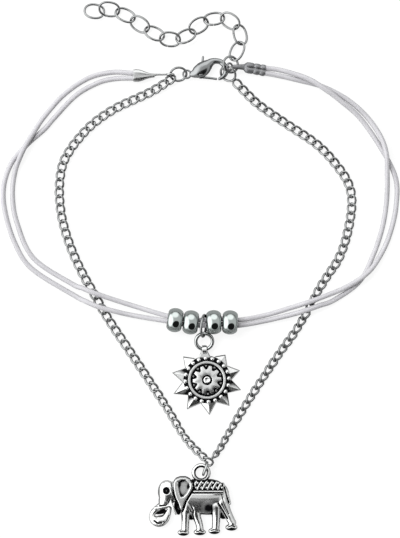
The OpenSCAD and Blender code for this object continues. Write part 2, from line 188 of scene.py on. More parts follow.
# The tent round the object: grey overhead, darker low down, with two windows and the dark camera.
# Each part: how it joins, direction, cosines where it starts and is full, strength outside and inside
tent = {
    "colour": (0.985, 1.0, 0.995),
    "parts": {
        "roof": ("ADD", (0, 0, 1), (0.0, 0.4), 0.22, 0.86),
        "westWindow": ("ADD", (-0.93, 0.0, 0.37), (0.5, 0.78), 0, 1.6),
        "northWindow": ("ADD", (0.05, 0.83, 0.55), (0.8, 0.94), 0, 1.1),
        "camera": ("MULTIPLY", (0.2, -0.64, 0.743), (0.8, 0.85), 1, 0.02),
    },
    "onPaper": 0.8,       # share of it that lights dull surfaces; the boxes do the rest
}
paper = {
    "halfSide": 1.5,      # metres
    "seen": (0.12, 0.12, 0.12),
    "mirrored": (0.36, 0.36, 0.36),
    "glow": 0.87,
    "roughness": 0.9,
}


def towards(tree, direction, edges, low, high):
    # How near the view of the tent is to one direction, eased between two edges
    dot = addNode(tree, "VectorMath", operation="DOT_PRODUCT")
    tree.links.new(tree.nodes["directions"].outputs["Generated"], dot.inputs[0])
    dot.inputs[1].default_value = Vector(direction).normalized()
    return fade(tree, dot.outputs["Value"], low, high, *edges, soft=True)


def addTent():
    world = bpy.data.worlds.new("tent")
    world.use_nodes = True
    tree = world.node_tree
    addNode(tree, "TexCoord", name="directions")
    dull = addNode(tree, "LightPath").outputs["Is Diffuse Ray"]
    light = None
    for join, *part in tent["parts"].values():
        lit = towards(tree, *part)
        light = combine(tree, join, light, lit) if light else lit
    feedAll(tree, tree.nodes["Background"], {
        "Color": tent["colour"],
        "Strength": combine(tree, "MULTIPLY", light, fade(tree, dull, 1.0, tent["onPaper"])),
    })
    scene.world = world
    scene.view_settings.view_transform = "Standard"


def addFloor():
    # White paper, lit a little from within so that shadows stay faint; metal mirrors it as grey
    bm = bmesh.new()
    bmesh.ops.create_grid(bm, x_segments=1, y_segments=1, size=paper["halfSide"])
    mesh = meshOf(bm, "floor")
    floor = linked("floor", mesh)
    material, tree, shader = newMaterial("whitePaper")
    mirrored = addNode(tree, "LightPath").outputs["Is Glossy Ray"]
    feedAll(tree, shader, {
        "Base Color": blend(tree, mirrored, paper["seen"], paper["mirrored"]),
        "Emission Strength": fade(tree, mirrored, paper["glow"], 0.0),
        "Emission Color": (1, 1, 1),
        "Roughness": paper["roughness"],
        "Specular IOR Level": 0.0,
    })
    mesh.materials.append(material)


addTent()
addFloor()
print("tent and floor are up")


# Materials, with their patterns in metres

# Plated metals: bright colour, colour of the painted shade in the corners, roughness, strength of the
# scratches
plated = {
    "brightWire": ((0.31, 0.313, 0.315), (0.015, 0.015, 0.017), 0.14, 0.05),
    "ringWire": ((0.5, 0.51, 0.51), (0.02, 0.02, 0.022), 0.14, 0.05),
    "claspPolish": ((0.31, 0.315, 0.32), (0.03, 0.03, 0.033), 0.18, 0.08),
    "beadPolish": ((0.47, 0.505, 0.495), (0.02, 0.02, 0.022), 0.06, 0.03),
    "crimpMetal": ((0.27, 0.27, 0.28), (0.02, 0.02, 0.022), 0.42, 0.6),
    "crimpSheet": ((0.56, 0.56, 0.56), (0.02, 0.02, 0.022), 0.24, 0.08),
}
# Polish of all of them; edges are the values between which something fades
polish = {
    "clouds": dict(Scale=700.0, Detail=3.0), "cloudTone": 0.88, "cloudEdges": (0.3, 0.7),
    "roughLow": 0.7, "roughHigh": 1.4,
    # corner and cornerEdges set the ambient occlusion that paints shade into the corners
    "corner": dict(samples=6, Distance=0.0007), "cornerEdges": (0.15, 0.8),
    "hairs": dict(Scale=1.0, Detail=2.0), "hairDepth": 0.00002,
    "stretch": dict(Rotation=(0.3, 0.2, 0.7), Scale=(14000, 1500, 5000)),
    "fine": dict(Scale=9000.0, Detail=4.0), "fineDepth": 0.00001, "fineShare": 0.6,
}
# Bumps are a strength and a depth
antique = {
    "patches": dict(Scale=1100.0, Detail=5.0), "patchShare": 0.25, "patchBump": (0.1, 0.00005),
    "grain": dict(Scale=7000.0, Detail=4.0), "grainBump": (0.08, 0.00002),
    "corner": dict(samples=8, Distance=0.0006), "cornerEdges": (0.3, 0.85),
    "darkEdges": (0.28, 0.8), "roughness": (0.24, 0.6),
    "worn": ((0.75, 0.75, 0.745), (0.89, 0.89, 0.89)), "patina": (0.008, 0.008, 0.009),
}
cotton = {
    "twist": (1.1, 5.0, 1.0), "plyBump": (0.3, 0.00005),
    "plies": dict(Scale=1.0, Distortion=0.6, Detail=1.0, bands_direction="DIAGONAL"),
    "draw": (0.22, 9.0, 1.0), "streakBump": (0.3, 0.00006),
    "streaks": dict(Scale=1.0, Detail=3.0), "streakEdges": (0.3, 0.62),
    "fuzz": dict(Scale=2600.0, Detail=6.0, Roughness=0.7), "fuzzBump": (0.2, 0.00003),
    "wax": dict(Scale=350.0, Detail=3.0), "waxTones": ((0.39, 0.38, 0.4), (0.5, 0.49, 0.51)),
    "streakTone": (0.28, 0.275, 0.295), "streakShare": 0.5,
    "threadTone": (0.33, 0.325, 0.345), "threadShare": 0.3,
    "roughness": (0.32, 0.55), "sheen": 0.2, "coat": 0.25, "coatRoughness": 0.35,
}


def polishedMetal(name, bright, shade, rough, scratches):
    # Plated wire and castings: cloudy polish, fine hairlines, painted shade that darkens the corners
    material, tree, shader = newMaterial(name)
    place = addNode(tree, "TexCoord").outputs["Object"]
    cloudy = noiseAt(tree, place, polish["clouds"])
    fine = noiseAt(tree, place, polish["fine"])
    stretched = readAt(tree, "Mapping", place, "Vector", **polish["stretch"])
    hairlines = noiseAt(tree, stretched, polish["hairs"])
    # Ambient occlusion darkens the colour in corners and where links touch: painted shade
    crevice = addNode(tree, "AmbientOcclusion", **polish["corner"])
    outsideCornerShade = fade(tree, crevice.outputs["AO"], 0.0, 1.0, *polish["cornerEdges"])
    tone = blend(tree, cloudy, tuple(polish["cloudTone"] * c for c in bright), bright)
    low, high = rough * polish["roughLow"], rough * polish["roughHigh"]
    first = bump(tree, hairlines, scratches, polish["hairDepth"])
    feedAll(tree, shader, {
        "Base Color": blend(tree, outsideCornerShade, shade, tone),
        "Roughness": fade(tree, cloudy, low, high, *polish["cloudEdges"]),
        "Normal": bump(tree, fine, scratches * polish["fineShare"], polish["fineDepth"], first),
        "Metallic": 1.0,
    })
    return material


def antiqueMetal():
    # Old silver: worn bright on top, black in corners where the patina sits and where the mesh attribute
    # holds patina and painted shade
    material, tree, shader = newMaterial("antiqueSilver")
    place = addNode(tree, "TexCoord").outputs["Object"]
    # The mesh attribute carries the pieces' patina together with their painted shade
    patinaAndShade = addNode(tree, "Attribute", attribute_name="patinaAndShade").outputs["Fac"]
    patches = noiseAt(tree, place, antique["patches"])
    grain = noiseAt(tree, place, antique["grain"])
    crevice = addNode(tree, "AmbientOcclusion", **antique["corner"])
    closed = fade(tree, crevice.outputs["AO"], 1.0, 0.0, *antique["cornerEdges"])
    held = combine(tree, "MAXIMUM", patinaAndShade, closed)
    broken = combine(tree, "MULTIPLY_ADD", patches, antique["patchShare"], held)
    dark = fade(tree, broken, 0.0, 1.0, *antique["darkEdges"])
    metal = blend(tree, patches, *antique["worn"])
    first = bump(tree, patches, *antique["patchBump"])
    feedAll(tree, shader, {
        "Base Color": blend(tree, dark, metal, antique["patina"]),
        "Roughness": fade(tree, dark, *antique["roughness"]),
        "Normal": bump(tree, grain, *antique["grainBump"], first),
        "Metallic": 1.0,
    })
    return material


def waxedCord():
    # Waxed cotton: plies and long streaks that follow the cord, with fuzz and cloudy wax over them
    material, tree, shader = newMaterial("waxedCotton")
    alongCord = addNode(tree, "UVMap", uv_map="along").outputs["UV"]
    place = addNode(tree, "TexCoord").outputs["Object"]
    twisted = readAt(tree, "Mapping", alongCord, "Vector", Scale=cotton["twist"])
    plies = readAt(tree, "TexWave", twisted, "Fac", **cotton["plies"])
    drawn = readAt(tree, "Mapping", alongCord, "Vector", Scale=cotton["draw"])
    streaks = noiseAt(tree, drawn, cotton["streaks"])
    fuzz = noiseAt(tree, place, cotton["fuzz"])
    wax = noiseAt(tree, place, cotton["wax"])
    lines = fade(tree, streaks, cotton["streakShare"], 0.0, *cotton["streakEdges"])
    lined = blend(tree, lines, blend(tree, wax, *cotton["waxTones"]), cotton["streakTone"])
    threads = fade(tree, plies, 0.0, cotton["threadShare"])
    first = bump(tree, plies, *cotton["plyBump"])
    second = bump(tree, streaks, *cotton["streakBump"], first)
    feedAll(tree, shader, {
        "Base Color": blend(tree, threads, lined, cotton["threadTone"]),
        "Roughness": fade(tree, wax, *cotton["roughness"]),
        "Normal": bump(tree, fuzz, *cotton["fuzzBump"], second),
        "Sheen Weight": cotton["sheen"],
        "Coat Weight": cotton["coat"],
        "Coat Roughness": cotton["coatRoughness"],
    })
    return material


metals = {name: polishedMetal(name, *row) for name, row in plated.items()}
oldSilver = antiqueMetal()
cottonCord = waxedCord()
print("materials are mixed")


# Ways of making shapes

def ramp(value, low, high):
    t = max(0.0, min(1.0, (value - low) / (high - low)))
    return t * t * (3 - 2 * t)


def placed(at=(0, 0, 0), turn=(0, 0, 0)):
    matrix = Matrix.Translation(at)
    for angle, axis in zip(reversed(turn), "ZYX"):
        matrix = matrix @ Matrix.Rotation(math.radians(angle), 4, axis)
    return matrix


def moved(bm, before, matrix):
    # Moves what was added since the set of verts called before was taken
    added = [v for v in bm.verts if v not in before]
    bmesh.ops.transform(bm, matrix=matrix, verts=added)
    return added


def finished(bm, name, material, nodes, body=mainBody, sharp=None, turned=True):
    if turned:
        bmesh.ops.recalc_face_normals(bm, faces=bm.faces)
    bmesh.ops.scale(bm, vec=(mm, mm, mm), verts=bm.verts)
    mesh = meshOf(bm, name)
    mesh.materials.append(material)
    mesh.shade_smooth()
    if sharp:
        mesh.set_sharp_from_angle(angle=math.radians(sharp))
    piece = linked(name, mesh)
    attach(piece, body)
    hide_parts(*nodes)
    return piece


def applied(bm, modifiers):
    # Runs modifiers on a mesh in millimetres and gives the result as a new bmesh
    mesh = meshOf(bm, "work")
    work = linked("work", mesh)
    for kind, settings in modifiers:
        modifier = work.modifiers.new(kind.lower(), kind)
        for key, value in settings.items():
            setattr(modifier, key, value)
    done = bpy.data.meshes.new_from_object(work.evaluated_get(bpy.context.evaluated_depsgraph_get()))
    result = bmesh.new()
    result.from_mesh(done)
    bpy.data.objects.remove(work)
    bpy.data.meshes.remove(mesh)
    bpy.data.meshes.remove(done)
    return result


def carved(bm, cutter):
    # Cuts one mesh in millimetres out of another
    bmesh.ops.recalc_face_normals(cutter, faces=cutter.faces)
    bmesh.ops.recalc_face_normals(bm, faces=bm.faces)
    mesh = meshOf(cutter, "cutter")
    tool = linked("cutter", mesh)
    result = applied(bm, [("BOOLEAN", dict(operation="DIFFERENCE", object=tool, solver="EXACT"))])
    bpy.data.objects.remove(tool)
    bpy.data.meshes.remove(mesh)
    return result


def curvePoint(rows, i, t):
    # Catmull-Rom between row i and the next, for rows of any width
    p0, p1 = rows[max(i - 1, 0)], rows[i]
    p2, p3 = rows[i + 1], rows[min(i + 2, len(rows) - 1)]
    return [
        0.5 * (2 * b + (c - a) * t + (2 * a - 5 * b + 4 * c - d) * t * t + (3 * b - a - 3 * c + d) * t ** 3)
        for a, b, c, d in zip(p0, p1, p2, p3)
    ]


def lying(rows, z):
    # Rows of x and y lie at one height; those with a height of their own keep it
    return [row if len(row) > 2 else (*row, z) for row in rows]


def smoothRows(rows, step):
    # A round line through the rows, resampled at an even step of its length
    fine = 16
    dense = []
    for i in range(len(rows) - 1):
        dense += [curvePoint(rows, i, k / fine) for k in range(fine)]
    dense.append(list(rows[-1]))
    lengths = [0.0]
    for a, b in zip(dense, dense[1:]):
        lengths.append(lengths[-1] + (Vector(b[:3]) - Vector(a[:3])).length)
    count = max(2, round(lengths[-1] / step))
    out, k = [], 0
    for j in range(count + 1):
        at = lengths[-1] * j / count
        while k < len(dense) - 2 and lengths[k + 1] < at:
            k += 1
        t = (at - lengths[k]) / max(lengths[k + 1] - lengths[k], 1e-9)
        out.append([a + (b - a) * t for a, b in zip(dense[k], dense[k + 1])])
    return out


def frameAt(points, i, halfWidth, halfHeight):
    # Place of the unit circle at point i: its x axis lies level across the route
    ahead, behind = points[min(i + 1, len(points) - 1)], points[max(i - 1, 0)]
    along = (Vector(ahead[:3]) - Vector(behind[:3])).normalized()
    side = along.cross(Vector((0, 0, 1)))
    side = side.normalized() if side.length > 1e-6 else Vector((1, 0, 0))
    turn = Matrix((side, side.cross(along), -along)).transposed().to_4x4()
    return Matrix.Translation(points[i][:3]) @ turn @ Matrix.Diagonal((halfWidth, halfHeight, 1, 1))


def vertsIn(items):
    return [item for item in items if isinstance(item, bmesh.types.BMVert)]


def edgesIn(items):
    return [item for item in items if isinstance(item, bmesh.types.BMEdge)]


def edgesAmong(bm, verts):
    return [e for e in bm.edges if all(v in verts for v in e.verts)]


def edgeLoop(bm, verts):
    return [bm.edges.new((a, b)) for a, b in zip(verts, verts[1:] + verts[:1])]


def swept(bm, frames, sides, ends=True):
    # Draws a tube by extruding one circle from place to place
    ring = bmesh.ops.create_circle(bm, segments=sides, radius=1, matrix=frames[0])["verts"]
    edges = list({e for v in ring for e in v.link_edges})
    rings = [list(ring)]
    first = edges
    for before, now in zip(frames, frames[1:]):
        out = bmesh.ops.extrude_edge_only(bm, edges=edges)["geom"]
        edges, verts = edgesIn(out), vertsIn(out)
        bmesh.ops.transform(bm, matrix=now @ before.inverted(), verts=verts)
        rings.append(verts)
    if ends:
        bmesh.ops.contextual_create(bm, geom=first)
        bmesh.ops.contextual_create(bm, geom=edges)
    return rings


def sweptRows(bm, rows, step, sides):
    # Tube through rows of x, y, z, half width and half height; one number stands for both
    line = smoothRows(rows, step)
    swept(bm, [frameAt(line, i, row[3], row[-1]) for i, row in enumerate(line)], sides)


def spunRing(bm, radius, wire, steps, sides, slit=0):
    # Round wire spun about Z from the +X side, open by the slit's degrees
    before = set(bm.verts)
    ring = bmesh.ops.create_circle(
        bm, segments=sides, radius=wire / 2, matrix=placed((radius, 0, 0), (90, 0, 0)))["verts"]
    edges = list({e for v in ring for e in v.link_edges})
    out = bmesh.ops.spin(
        bm, geom=list(ring) + edges, cent=(0, 0, 0), axis=(0, 0, 1), dvec=(0, 0, 0),
        angle=math.radians(360 - slit), steps=steps, use_merge=not slit)
    if slit:
        bmesh.ops.contextual_create(bm, geom=edges)
        bmesh.ops.contextual_create(bm, geom=edgesIn(out["geom_last"]))
    return before


def spunProfile(bm, profile, steps, axis=(0, 0, 1)):
    # Closed profile of x and z, spun about Z unless told otherwise
    before = set(bm.verts)
    verts = [bm.verts.new((x, 0, z)) for x, z in profile]
    edges = edgeLoop(bm, verts)
    bmesh.ops.spin(bm, geom=verts + edges, cent=(0, 0, 0), axis=axis, dvec=(0, 0, 0),
                   angle=2 * math.pi, steps=steps, use_merge=True)
    return before


def raised(bm, outline, height):
    # Flat plate of an outline; gives the verts of its top
    face = bm.faces.new([bm.verts.new(p) for p in outline])
    top = vertsIn(bmesh.ops.extrude_face_region(bm, geom=[face])["geom"])
    bmesh.ops.translate(bm, vec=(0, 0, height), verts=top)
    return top


def bevelled(bm, edges, offset, segments=1):
    bmesh.ops.bevel(
        bm, geom=edges, offset=offset, segments=segments, profile=0.5, affect="EDGES", material=-1)


def wireLoop(bm, line, wire, sides, cut=False):
    # Round wire along a closed line of points; a cut one keeps its two ends apart
    points = line if cut else line[-1:] + line + line[:1]
    frames = [frameAt(points, i, wire / 2, wire / 2) for i in range(len(points))]
    rings = swept(bm, frames if cut else frames[1:-1], sides, ends=cut)
    if not cut:
        bmesh.ops.bridge_loops(bm, edges=edgesAmong(bm, rings[0]) + edgesAmong(bm, rings[-1]))


# Cords: routes in millimetres, as the strands lie

cordFacts = {"diameter": 1.1, "sides": 14, "step": 0.55}
strandRouteA = [
    (-12.8, 27.8, 1.15), (-15, 27.8, 1.1), (-19.4, 28, 0.6), (-24.6, 26.7), (-29.9, 23.1),
    (-34.1, 18.4, 0.7), (-36.1, 15.3, 1.35), (-37.7, 12.7, 1.75), (-39.3, 9.6, 1.5), (-40.7, 5.9, 0.6),
    (-41.2, 0.9), (-40.2, -5.1), (-36.6, -12.8), (-28.2, -18.4, 0.8), (-25.7, -19.4, 1.6),
    (-23.3, -20.4, 1.9), (-20.7, -21.3, 1.55), (-15.2, -23.1, 1), (-7.2, -25.45, 2),
    (-3.7, -26.1, 2.05), (0.2, -26.39, 2.05), (4.75, -26.1, 2), (8.3, -26.4, 2), (14.3, -25.35, 0.95),
    (20.5, -23.5, 1.6), (23.3, -22.6, 1.9), (26.4, -21.5, 1.75), (31.8, -19.3, 1.35),
    (35.9, -16.7, 1.8), (38.6, -13.8, 1.1), (41.4, -8.4), (43.1, -1.1), (42.5, 6.2), (36.1, 16.8),
    (30.8, 21.7, 1.2), (27, 24.4, 1.75), (23.4, 26.6, 1.5), (18, 28.4, 0.8), (14.35, 28.9, 1),
    (12.35, 29.2, 1.2),
]
strandRouteB = [
    (-12.8, 26.65, 1.15), (-14.9, 26.65, 1.1), (-18.5, 26.6, 0.6), (-22.4, 25.7), (-27.3, 22.9),
    (-32.1, 17.9), (-34.2, 15.5), (-38, 12.1), (-41.4, 8.1), (-43.1, 3.1), (-42.9, -2.2), (-40.8, -9.2),
    (-37, -15.1), (-27.8, -20.9, 0.75), (-25, -22.3, 1.55), (-22.4, -23.4, 1.9), (-19.3, -24.3, 1.55),
    (-14.6, -25.4, 1), (-7.2, -26.6, 2), (-3.7, -27.25, 2), (0.4, -27.54, 2), (4.75, -27.25, 2),
    (8.3, -27.55, 2), (14.4, -26.55, 0.95), (20.4, -25.1, 1.6), (23.3, -24.2, 1.9), (25.9, -23.3, 1.5),
    (29.5, -22, 0.6), (35, -18), (37.9, -12.5), (40, -6.3), (41, 0, 0.6), (41, 6.2, 1.5),
    (40.8, 9.9, 1.9), (39.6, 13.8, 1.3), (36.6, 18.3), (32.1, 22.2), (26.8, 24.9), (21.1, 26.4, 0.6),
    (17.5, 27.2, 0.8), (14.15, 27.8, 1), (12.15, 28.05, 1.2),
]


def cordStrand(name, node, route):
    radius, step, sides = cordFacts["diameter"] / 2, cordFacts["step"], cordFacts["sides"]
    line = smoothRows(lying(route, radius), step)
    for p in line:
        p[2] = max(p[2], radius)
    bm = bmesh.new()
    swept(bm, [frameAt(line, i, radius, radius) for i in range(len(line))], sides)
    bm.verts.index_update()
    along = bm.loops.layers.uv.new("along")
    for face in bm.faces:
        rows = [loop.vert.index // sides for loop in face.loops]
        spots = [loop.vert.index % sides for loop in face.loops]
        wraps = max(spots) - min(spots) > sides // 2
        for loop, row, spot in zip(face.loops, rows, spots):
            around = spot + sides if wraps and spot < sides // 2 else spot
            loop[along].uv = (row * step, around / sides)
    piece = finished(bm, name, cottonCord, [node])


cordStrand("waxedCordA", "cord_strand_a", strandRouteA)
cordStrand("waxedCordB", "cord_strand_b", strandRouteB)
print("cords are laid")


# Curb chain

curb = {
    "pitch": 1.85,
    "wire": 0.52,
    "width": 2.22,
    "lift": 0.3,       # how far the twist carries the wire above and below the middle
    "play": 0.02,      # slack between links
    "rest": 0.02,      # lowest point above the surface
    "z": 0.6,          # middle of a link that lies down
    "steps": 12,
    "sides": 6,
    "sway": [(5, 1.7, 0), (3, 0.6, 1)],    # uneven lean: degrees, radians from link to link, start
}
chainLeft = [
    (-6.5, 26.35, 1.0), (-8.4, 25.1, 0.8), (-10.8, 23.7), (-14.5, 22), (-18, 20.4), (-21.3, 18.4),
    (-24.2, 16.1), (-26.7, 13.4), (-28.7, 10.7), (-30.3, 7.3), (-30.9, 2), (-30.3, -4.1),
    (-28.5, -10.2), (-26.1, -15.6), (-23.2, -20.8), (-20.2, -26.1), (-14.4, -34.8), (-7.7, -45),
    (-3.9, -51.3), (-1.3, -54.5, 0.9), (1.75, -57.25, 1.3),
]
chainRight = [
    (1.75, -57.25, 1.3), (3.3, -56.0, 1.1), (4.6, -54.2, 0.8), (6.4, -51), (11.2, -43.2), (17.3, -33.9),
    (20.5, -29.5), (23.2, -25.1), (25.5, -20.7), (27.9, -16.8), (30.4, -13), (32.2, -8), (33.3, -1.8),
    (32.9, 2.7), (30.7, 6.7), (26, 11.9), (19.4, 16.4), (15.8, 18.8), (12.5, 21.2), (10.1, 23.5, 0.7),
    (8.3, 25.3, 1),
]
# Each half: node, route, first link, lean of its links and by how much that changes between which links.
# The right half stands more on its edge from the elephant up to its bend beside the sun.
chainHalves = {
    "curbChainLeft": ("chain_left", chainLeft, 0, 4, [(34, 38, 52)]),
    "curbChainRight": ("chain_right", chainRight, 1, 52, [(-18, 3, 9), (-30, 22, 36)]),
}


def curbLink():
    # One link: an oval of wire, twisted so that its ends stand on edge to each other
    half = (curb["pitch"] + curb["wire"]) / 2 + curb["play"]
    across = (curb["width"] - curb["wire"]) / 2
    line = []
    for k in range(curb["steps"]):
        t = 2 * math.pi * k / curb["steps"]
        line.append((half * math.cos(t), across * math.sin(t), -curb["lift"] * math.sin(2 * t)))
    bm = bmesh.new()
    wireLoop(bm, line, curb["wire"], curb["sides"])
    bmesh.ops.recalc_face_normals(bm, faces=bm.faces)
    return meshOf(bm, "curbLink")


def chainOfLinks(name, node, route, first, lean, changes):
    link = curbLink()
    line = smoothRows(lying(route, curb["z"]), curb["pitch"])
    bm = bmesh.new()
    for i in range(first, len(line)):
        ahead, behind = line[min(i + 1, len(line) - 1)], line[max(i - 1, 0)]
        along = (Vector(ahead) - Vector(behind)).normalized()
        side = Vector((0, 0, 1)).cross(along).normalized()
        turn = Matrix((along, side, along.cross(side))).transposed().to_4x4()
        tilt = lean + sum(change * ramp(i, low, high) for change, low, high in changes)
        tilt += sum(size * math.sin(rate * i + start) for size, rate, start in curb["sway"])
        before = set(bm.verts)
        bm.from_mesh(link)
        place = Matrix.Translation(line[i]) @ turn @ Matrix.Rotation(math.radians(tilt), 4, "X")
        added = moved(bm, before, place)
        low = min(v.co.z for v in added)
        if low < curb["rest"]:
            bmesh.ops.translate(bm, vec=(0, 0, curb["rest"] - low), verts=added)
    bpy.data.meshes.remove(link)
    finished(bm, name, metals["brightWire"], [node], turned=False)


for name, half in chainHalves.items():
    chainOfLinks(name, *half)
print("chain is linked")


# Jump rings and the extender's links

# Each ring: node, middle, turn, radius, wire, where its slit is and its metal
wireRings = {
    "jumpRingLeft": ("ring_left", (-4.72, 27.47, 1.48), (42, 6, 0), 1.75, 0.5, -60, "brightWire"),
    "jumpRingUpper": ("ring_upper", (6.7, 29.5, 2.2), (-5.5, 24, -14.6), 1.75, 0.5, 70, "brightWire"),
    "jumpRingLower": ("ring_lower", (6.15, 27.55, 1.67), (33.3, -28.5, -2), 1.75, 0.5, -80, "brightWire"),
    "bailRing": ("bail_ring", (0.8, -27.6, 2.65), (0, 76.5, -4), 2.35, 0.56, 100, "brightWire"),
    "sunRing": ("sun_ring", (0.93, -31.05, 1.62), (17, 2.5, -6), 1.83, 0.78, 40, "ringWire"),
    "elephantRing": ("elephant_ring", (1.15, -58.9, 1.69), (90, 0, 72), 1.4, 0.56, -30, "ringWire"),
}
ringFacts = {"slit": 0.05, "steps": 56, "sides": 14, "sharp": 50}
extender = {
    "length": 4.9, "width": 3.66, "endLength": 4.75, "endWidth": 3.76, "wire": 0.48, "square": 0.9,
    "lean": 28, "endLean": 17, "endHeading": -8, "steps": 48, "sides": 12,
    "slitAt": 262, "endGap": 0.5, "endGapAt": -18,
}
extenderPlaces = [
    (-23.2, 41.4), (-19.9, 41.8), (-16.4, 40.5), (-13.2, 38.5), (-10, 36.5), (-6.6, 35.2), (-3.1, 35.9),
    (-0.3, 38.2), (3.1, 39.7), (6.6, 39.2),
]
raisedLinks = [
    ((6.6, 39.2, 1.16), (28, -2, -33)),
    ((8.8, 36.2, 0.99), (-28, -3.5, -78)),
    ((8.1, 32.5, 1.68), (-31, 7, 68)),
]


def wireRing(name, node, at, turn, radius, wire, slitAt, metal):
    bm = bmesh.new()
    slit = math.degrees(ringFacts["slit"] / radius)
    before = spunRing(bm, radius, wire, ringFacts["steps"], ringFacts["sides"], slit)
    moved(bm, before, placed(at, turn) @ Matrix.Rotation(math.radians(slitAt), 4, "Z"))
    finished(bm, name, metals[metal], [node], sharp=ringFacts["sharp"])


def ovalLine(length, width, gap, at):
    # Middle line of an oval link, open by a gap at an angle
    a, b = (length - extender["wire"]) / 2, (width - extender["wire"]) / 2
    spread = math.degrees(gap / (a + b))
    steps = extender["steps"]
    line = []
    for k in range(steps + 1):
        t = math.radians(at + spread + (360 - 2 * spread) * k / steps)
        c, s = math.cos(t), math.sin(t)
        x, y = (math.copysign(abs(part) ** extender["square"], part) for part in (c, s))
        line.append((a * x, b * y, 0))
    return line


def leaningPlace(i, width, lean):
    at = extenderPlaces[i]
    if i == 0:
        heading = extender["endHeading"]
    else:
        before, after = extenderPlaces[i - 1], extenderPlaces[min(i + 1, len(extenderPlaces) - 1)]
        heading = math.degrees(math.atan2(after[1] - before[1], after[0] - before[0]))
    z = ((width - extender["wire"]) * math.sin(math.radians(lean)) + extender["wire"]) / 2
    return placed((*at, z), (-lean if i % 2 == 0 else lean, 0, heading))


def extenderWire(name, node, line, place):
    bm = bmesh.new()
    wireLoop(bm, line, extender["wire"], extender["sides"], cut=True)
    moved(bm, (), place)
    finished(bm, name, metals["brightWire"], [node], sharp=ringFacts["sharp"])


def extenderLink(i):
    line = ovalLine(extender["length"], extender["width"], ringFacts["slit"], extender["slitAt"])
    if i < len(extenderPlaces) - 1:
        place = leaningPlace(i, extender["width"], extender["lean"])
    else:
        place = placed(*raisedLinks[i - len(extenderPlaces) + 1])
    extenderWire(f"extenderLink{i:02d}", f"extender_link_{i:02d}", line, place)


def extenderEndRing():
    # The last ring is left open at its lower right
    line = ovalLine(extender["endLength"], extender["endWidth"], extender["endGap"], extender["endGapAt"])
    place = leaningPlace(0, extender["endWidth"], extender["endLean"])
    extenderWire("extenderEndRing", "extender_end_ring", line, place)


for name, ring in wireRings.items():
    wireRing(name, *ring)
for i in range(1, len(extenderPlaces) + len(raisedLinks) - 1):
    extenderLink(i)
extenderEndRing()
print("rings and extender are bent")


# Lobster clasp

clasp = {
    "z": 1.3,
    "eye": (-2.86, 27.5), "eyeR": 0.85, "eyeWire": 0.42, "eyeSteps": 40, "eyeSides": 14,
    "pivot": (0.2, 27.4), "hub": 0.85, "pocket": 1.0, "leverThickness": 0.7,
    "rivet": 0.4, "rivetLength": 2.0, "rivetRound": 0.12, "leverRound": 0.06,
    "slot": 0.8, "gateFan": (-45, 32, 2.6), "tabFan": (64, 122, 4.3), "fanSteps": 8,
    "clawStep": 0.22, "clawSides": 28, "gateStep": 0.3, "tabStep": 0.22, "leverSides": 14,
    "pocketSteps": 40, "discSteps": 36, "sharp": 38, "sharpAngle": 1.2,
}
# Rows of x, y, half width and half height, level with the middle of the clasp
clawRows = [
    (-2.3, 27.5, 0.3, 0.3), (-2.1, 27.5, 0.53, 0.5), (-1.4, 27.6, 0.92, 0.8), (-0.7, 27.9, 1.36, 1.1),
    (0.1, 28.3, 1.63, 1.25), (0.8, 28.8, 1.63, 1.25), (1.5, 29.4, 1.36, 1.15), (2.1, 29.9, 1, 0.85),
    (2.8, 30.3, 0.75, 0.65), (3.6, 30.4, 0.62, 0.56), (4.5, 30.2, 0.6, 0.54), (5.2, 29.6, 0.6, 0.54),
    (5.6, 28.8, 0.6, 0.52), (5.7, 28, 0.58, 0.5), (5.3, 27.2, 0.5, 0.46), (4.7, 26.7, 0.4, 0.38),
    (4.1, 26.43, 0.3, 0.31), (3.9, 26.38, 0.12, 0.12),
]
gateRows = [(0.5, 26.8, 0.25, 0.28), (1.8, 26.68, 0.25, 0.28), (3.72, 26.44, 0.25, 0.28)]
tabRows = [
    (0.2, 27.9, 0.25, 0.3), (0.5, 30.0, 0.24, 0.288), (0.66, 31.3, 0.25, 0.3), (0.71, 31.52, 0.1, 0.12),
]


def fan(start, end, radius):
    # Pie slice about the pivot, as thick as the slot
    px, py = clasp["pivot"]
    steps = clasp["fanSteps"]
    arc = [math.radians(start + (end - start) * k / steps) for k in range(steps + 1)]
    spots = [(px, py)] + [(px + radius * math.cos(a), py + radius * math.sin(a)) for a in arc]
    bm = bmesh.new()
    raised(bm, [(x, y, clasp["z"] - clasp["slot"] / 2) for x, y in spots], clasp["slot"])
    return bm


def pivotDisc(bm, radius, depth, segments):
    bmesh.ops.create_cone(
        bm, segments=segments, radius1=radius, radius2=radius, depth=depth, cap_ends=True,
        matrix=placed((*clasp["pivot"], clasp["z"])))


def claspTube(bm, rows, step, sides):
    sweptRows(bm, [(x, y, clasp["z"], w, h) for x, y, w, h in rows], step, sides)


def eased(bm, offset, segments):
    # Rounds every sharp edge of a mesh
    edges = [e for e in bm.edges if len(e.link_faces) == 2 and e.calc_face_angle() > clasp["sharpAngle"]]
    bevelled(bm, edges, offset, segments)


def claspFinished(bm, name, node, body=mainBody):
    finished(bm, name, metals["claspPolish"], [node], body=body, sharp=clasp["sharp"])


def claspBody():
    bm = bmesh.new()
    claspTube(bm, clawRows, clasp["clawStep"], clasp["clawSides"])
    pocket = bmesh.new()
    pivotDisc(pocket, clasp["pocket"], clasp["slot"], clasp["pocketSteps"])
    for cutter in (fan(*clasp["gateFan"]), fan(*clasp["tabFan"]), pocket):
        bm = carved(bm, cutter)
    before = spunRing(bm, clasp["eyeR"], clasp["eyeWire"], clasp["eyeSteps"], clasp["eyeSides"])
    moved(bm, before, placed((*clasp["eye"], clasp["z"])))
    print("clasp body has", len(bm.faces), "faces")
    claspFinished(bm, "claspBody", "clasp_body")


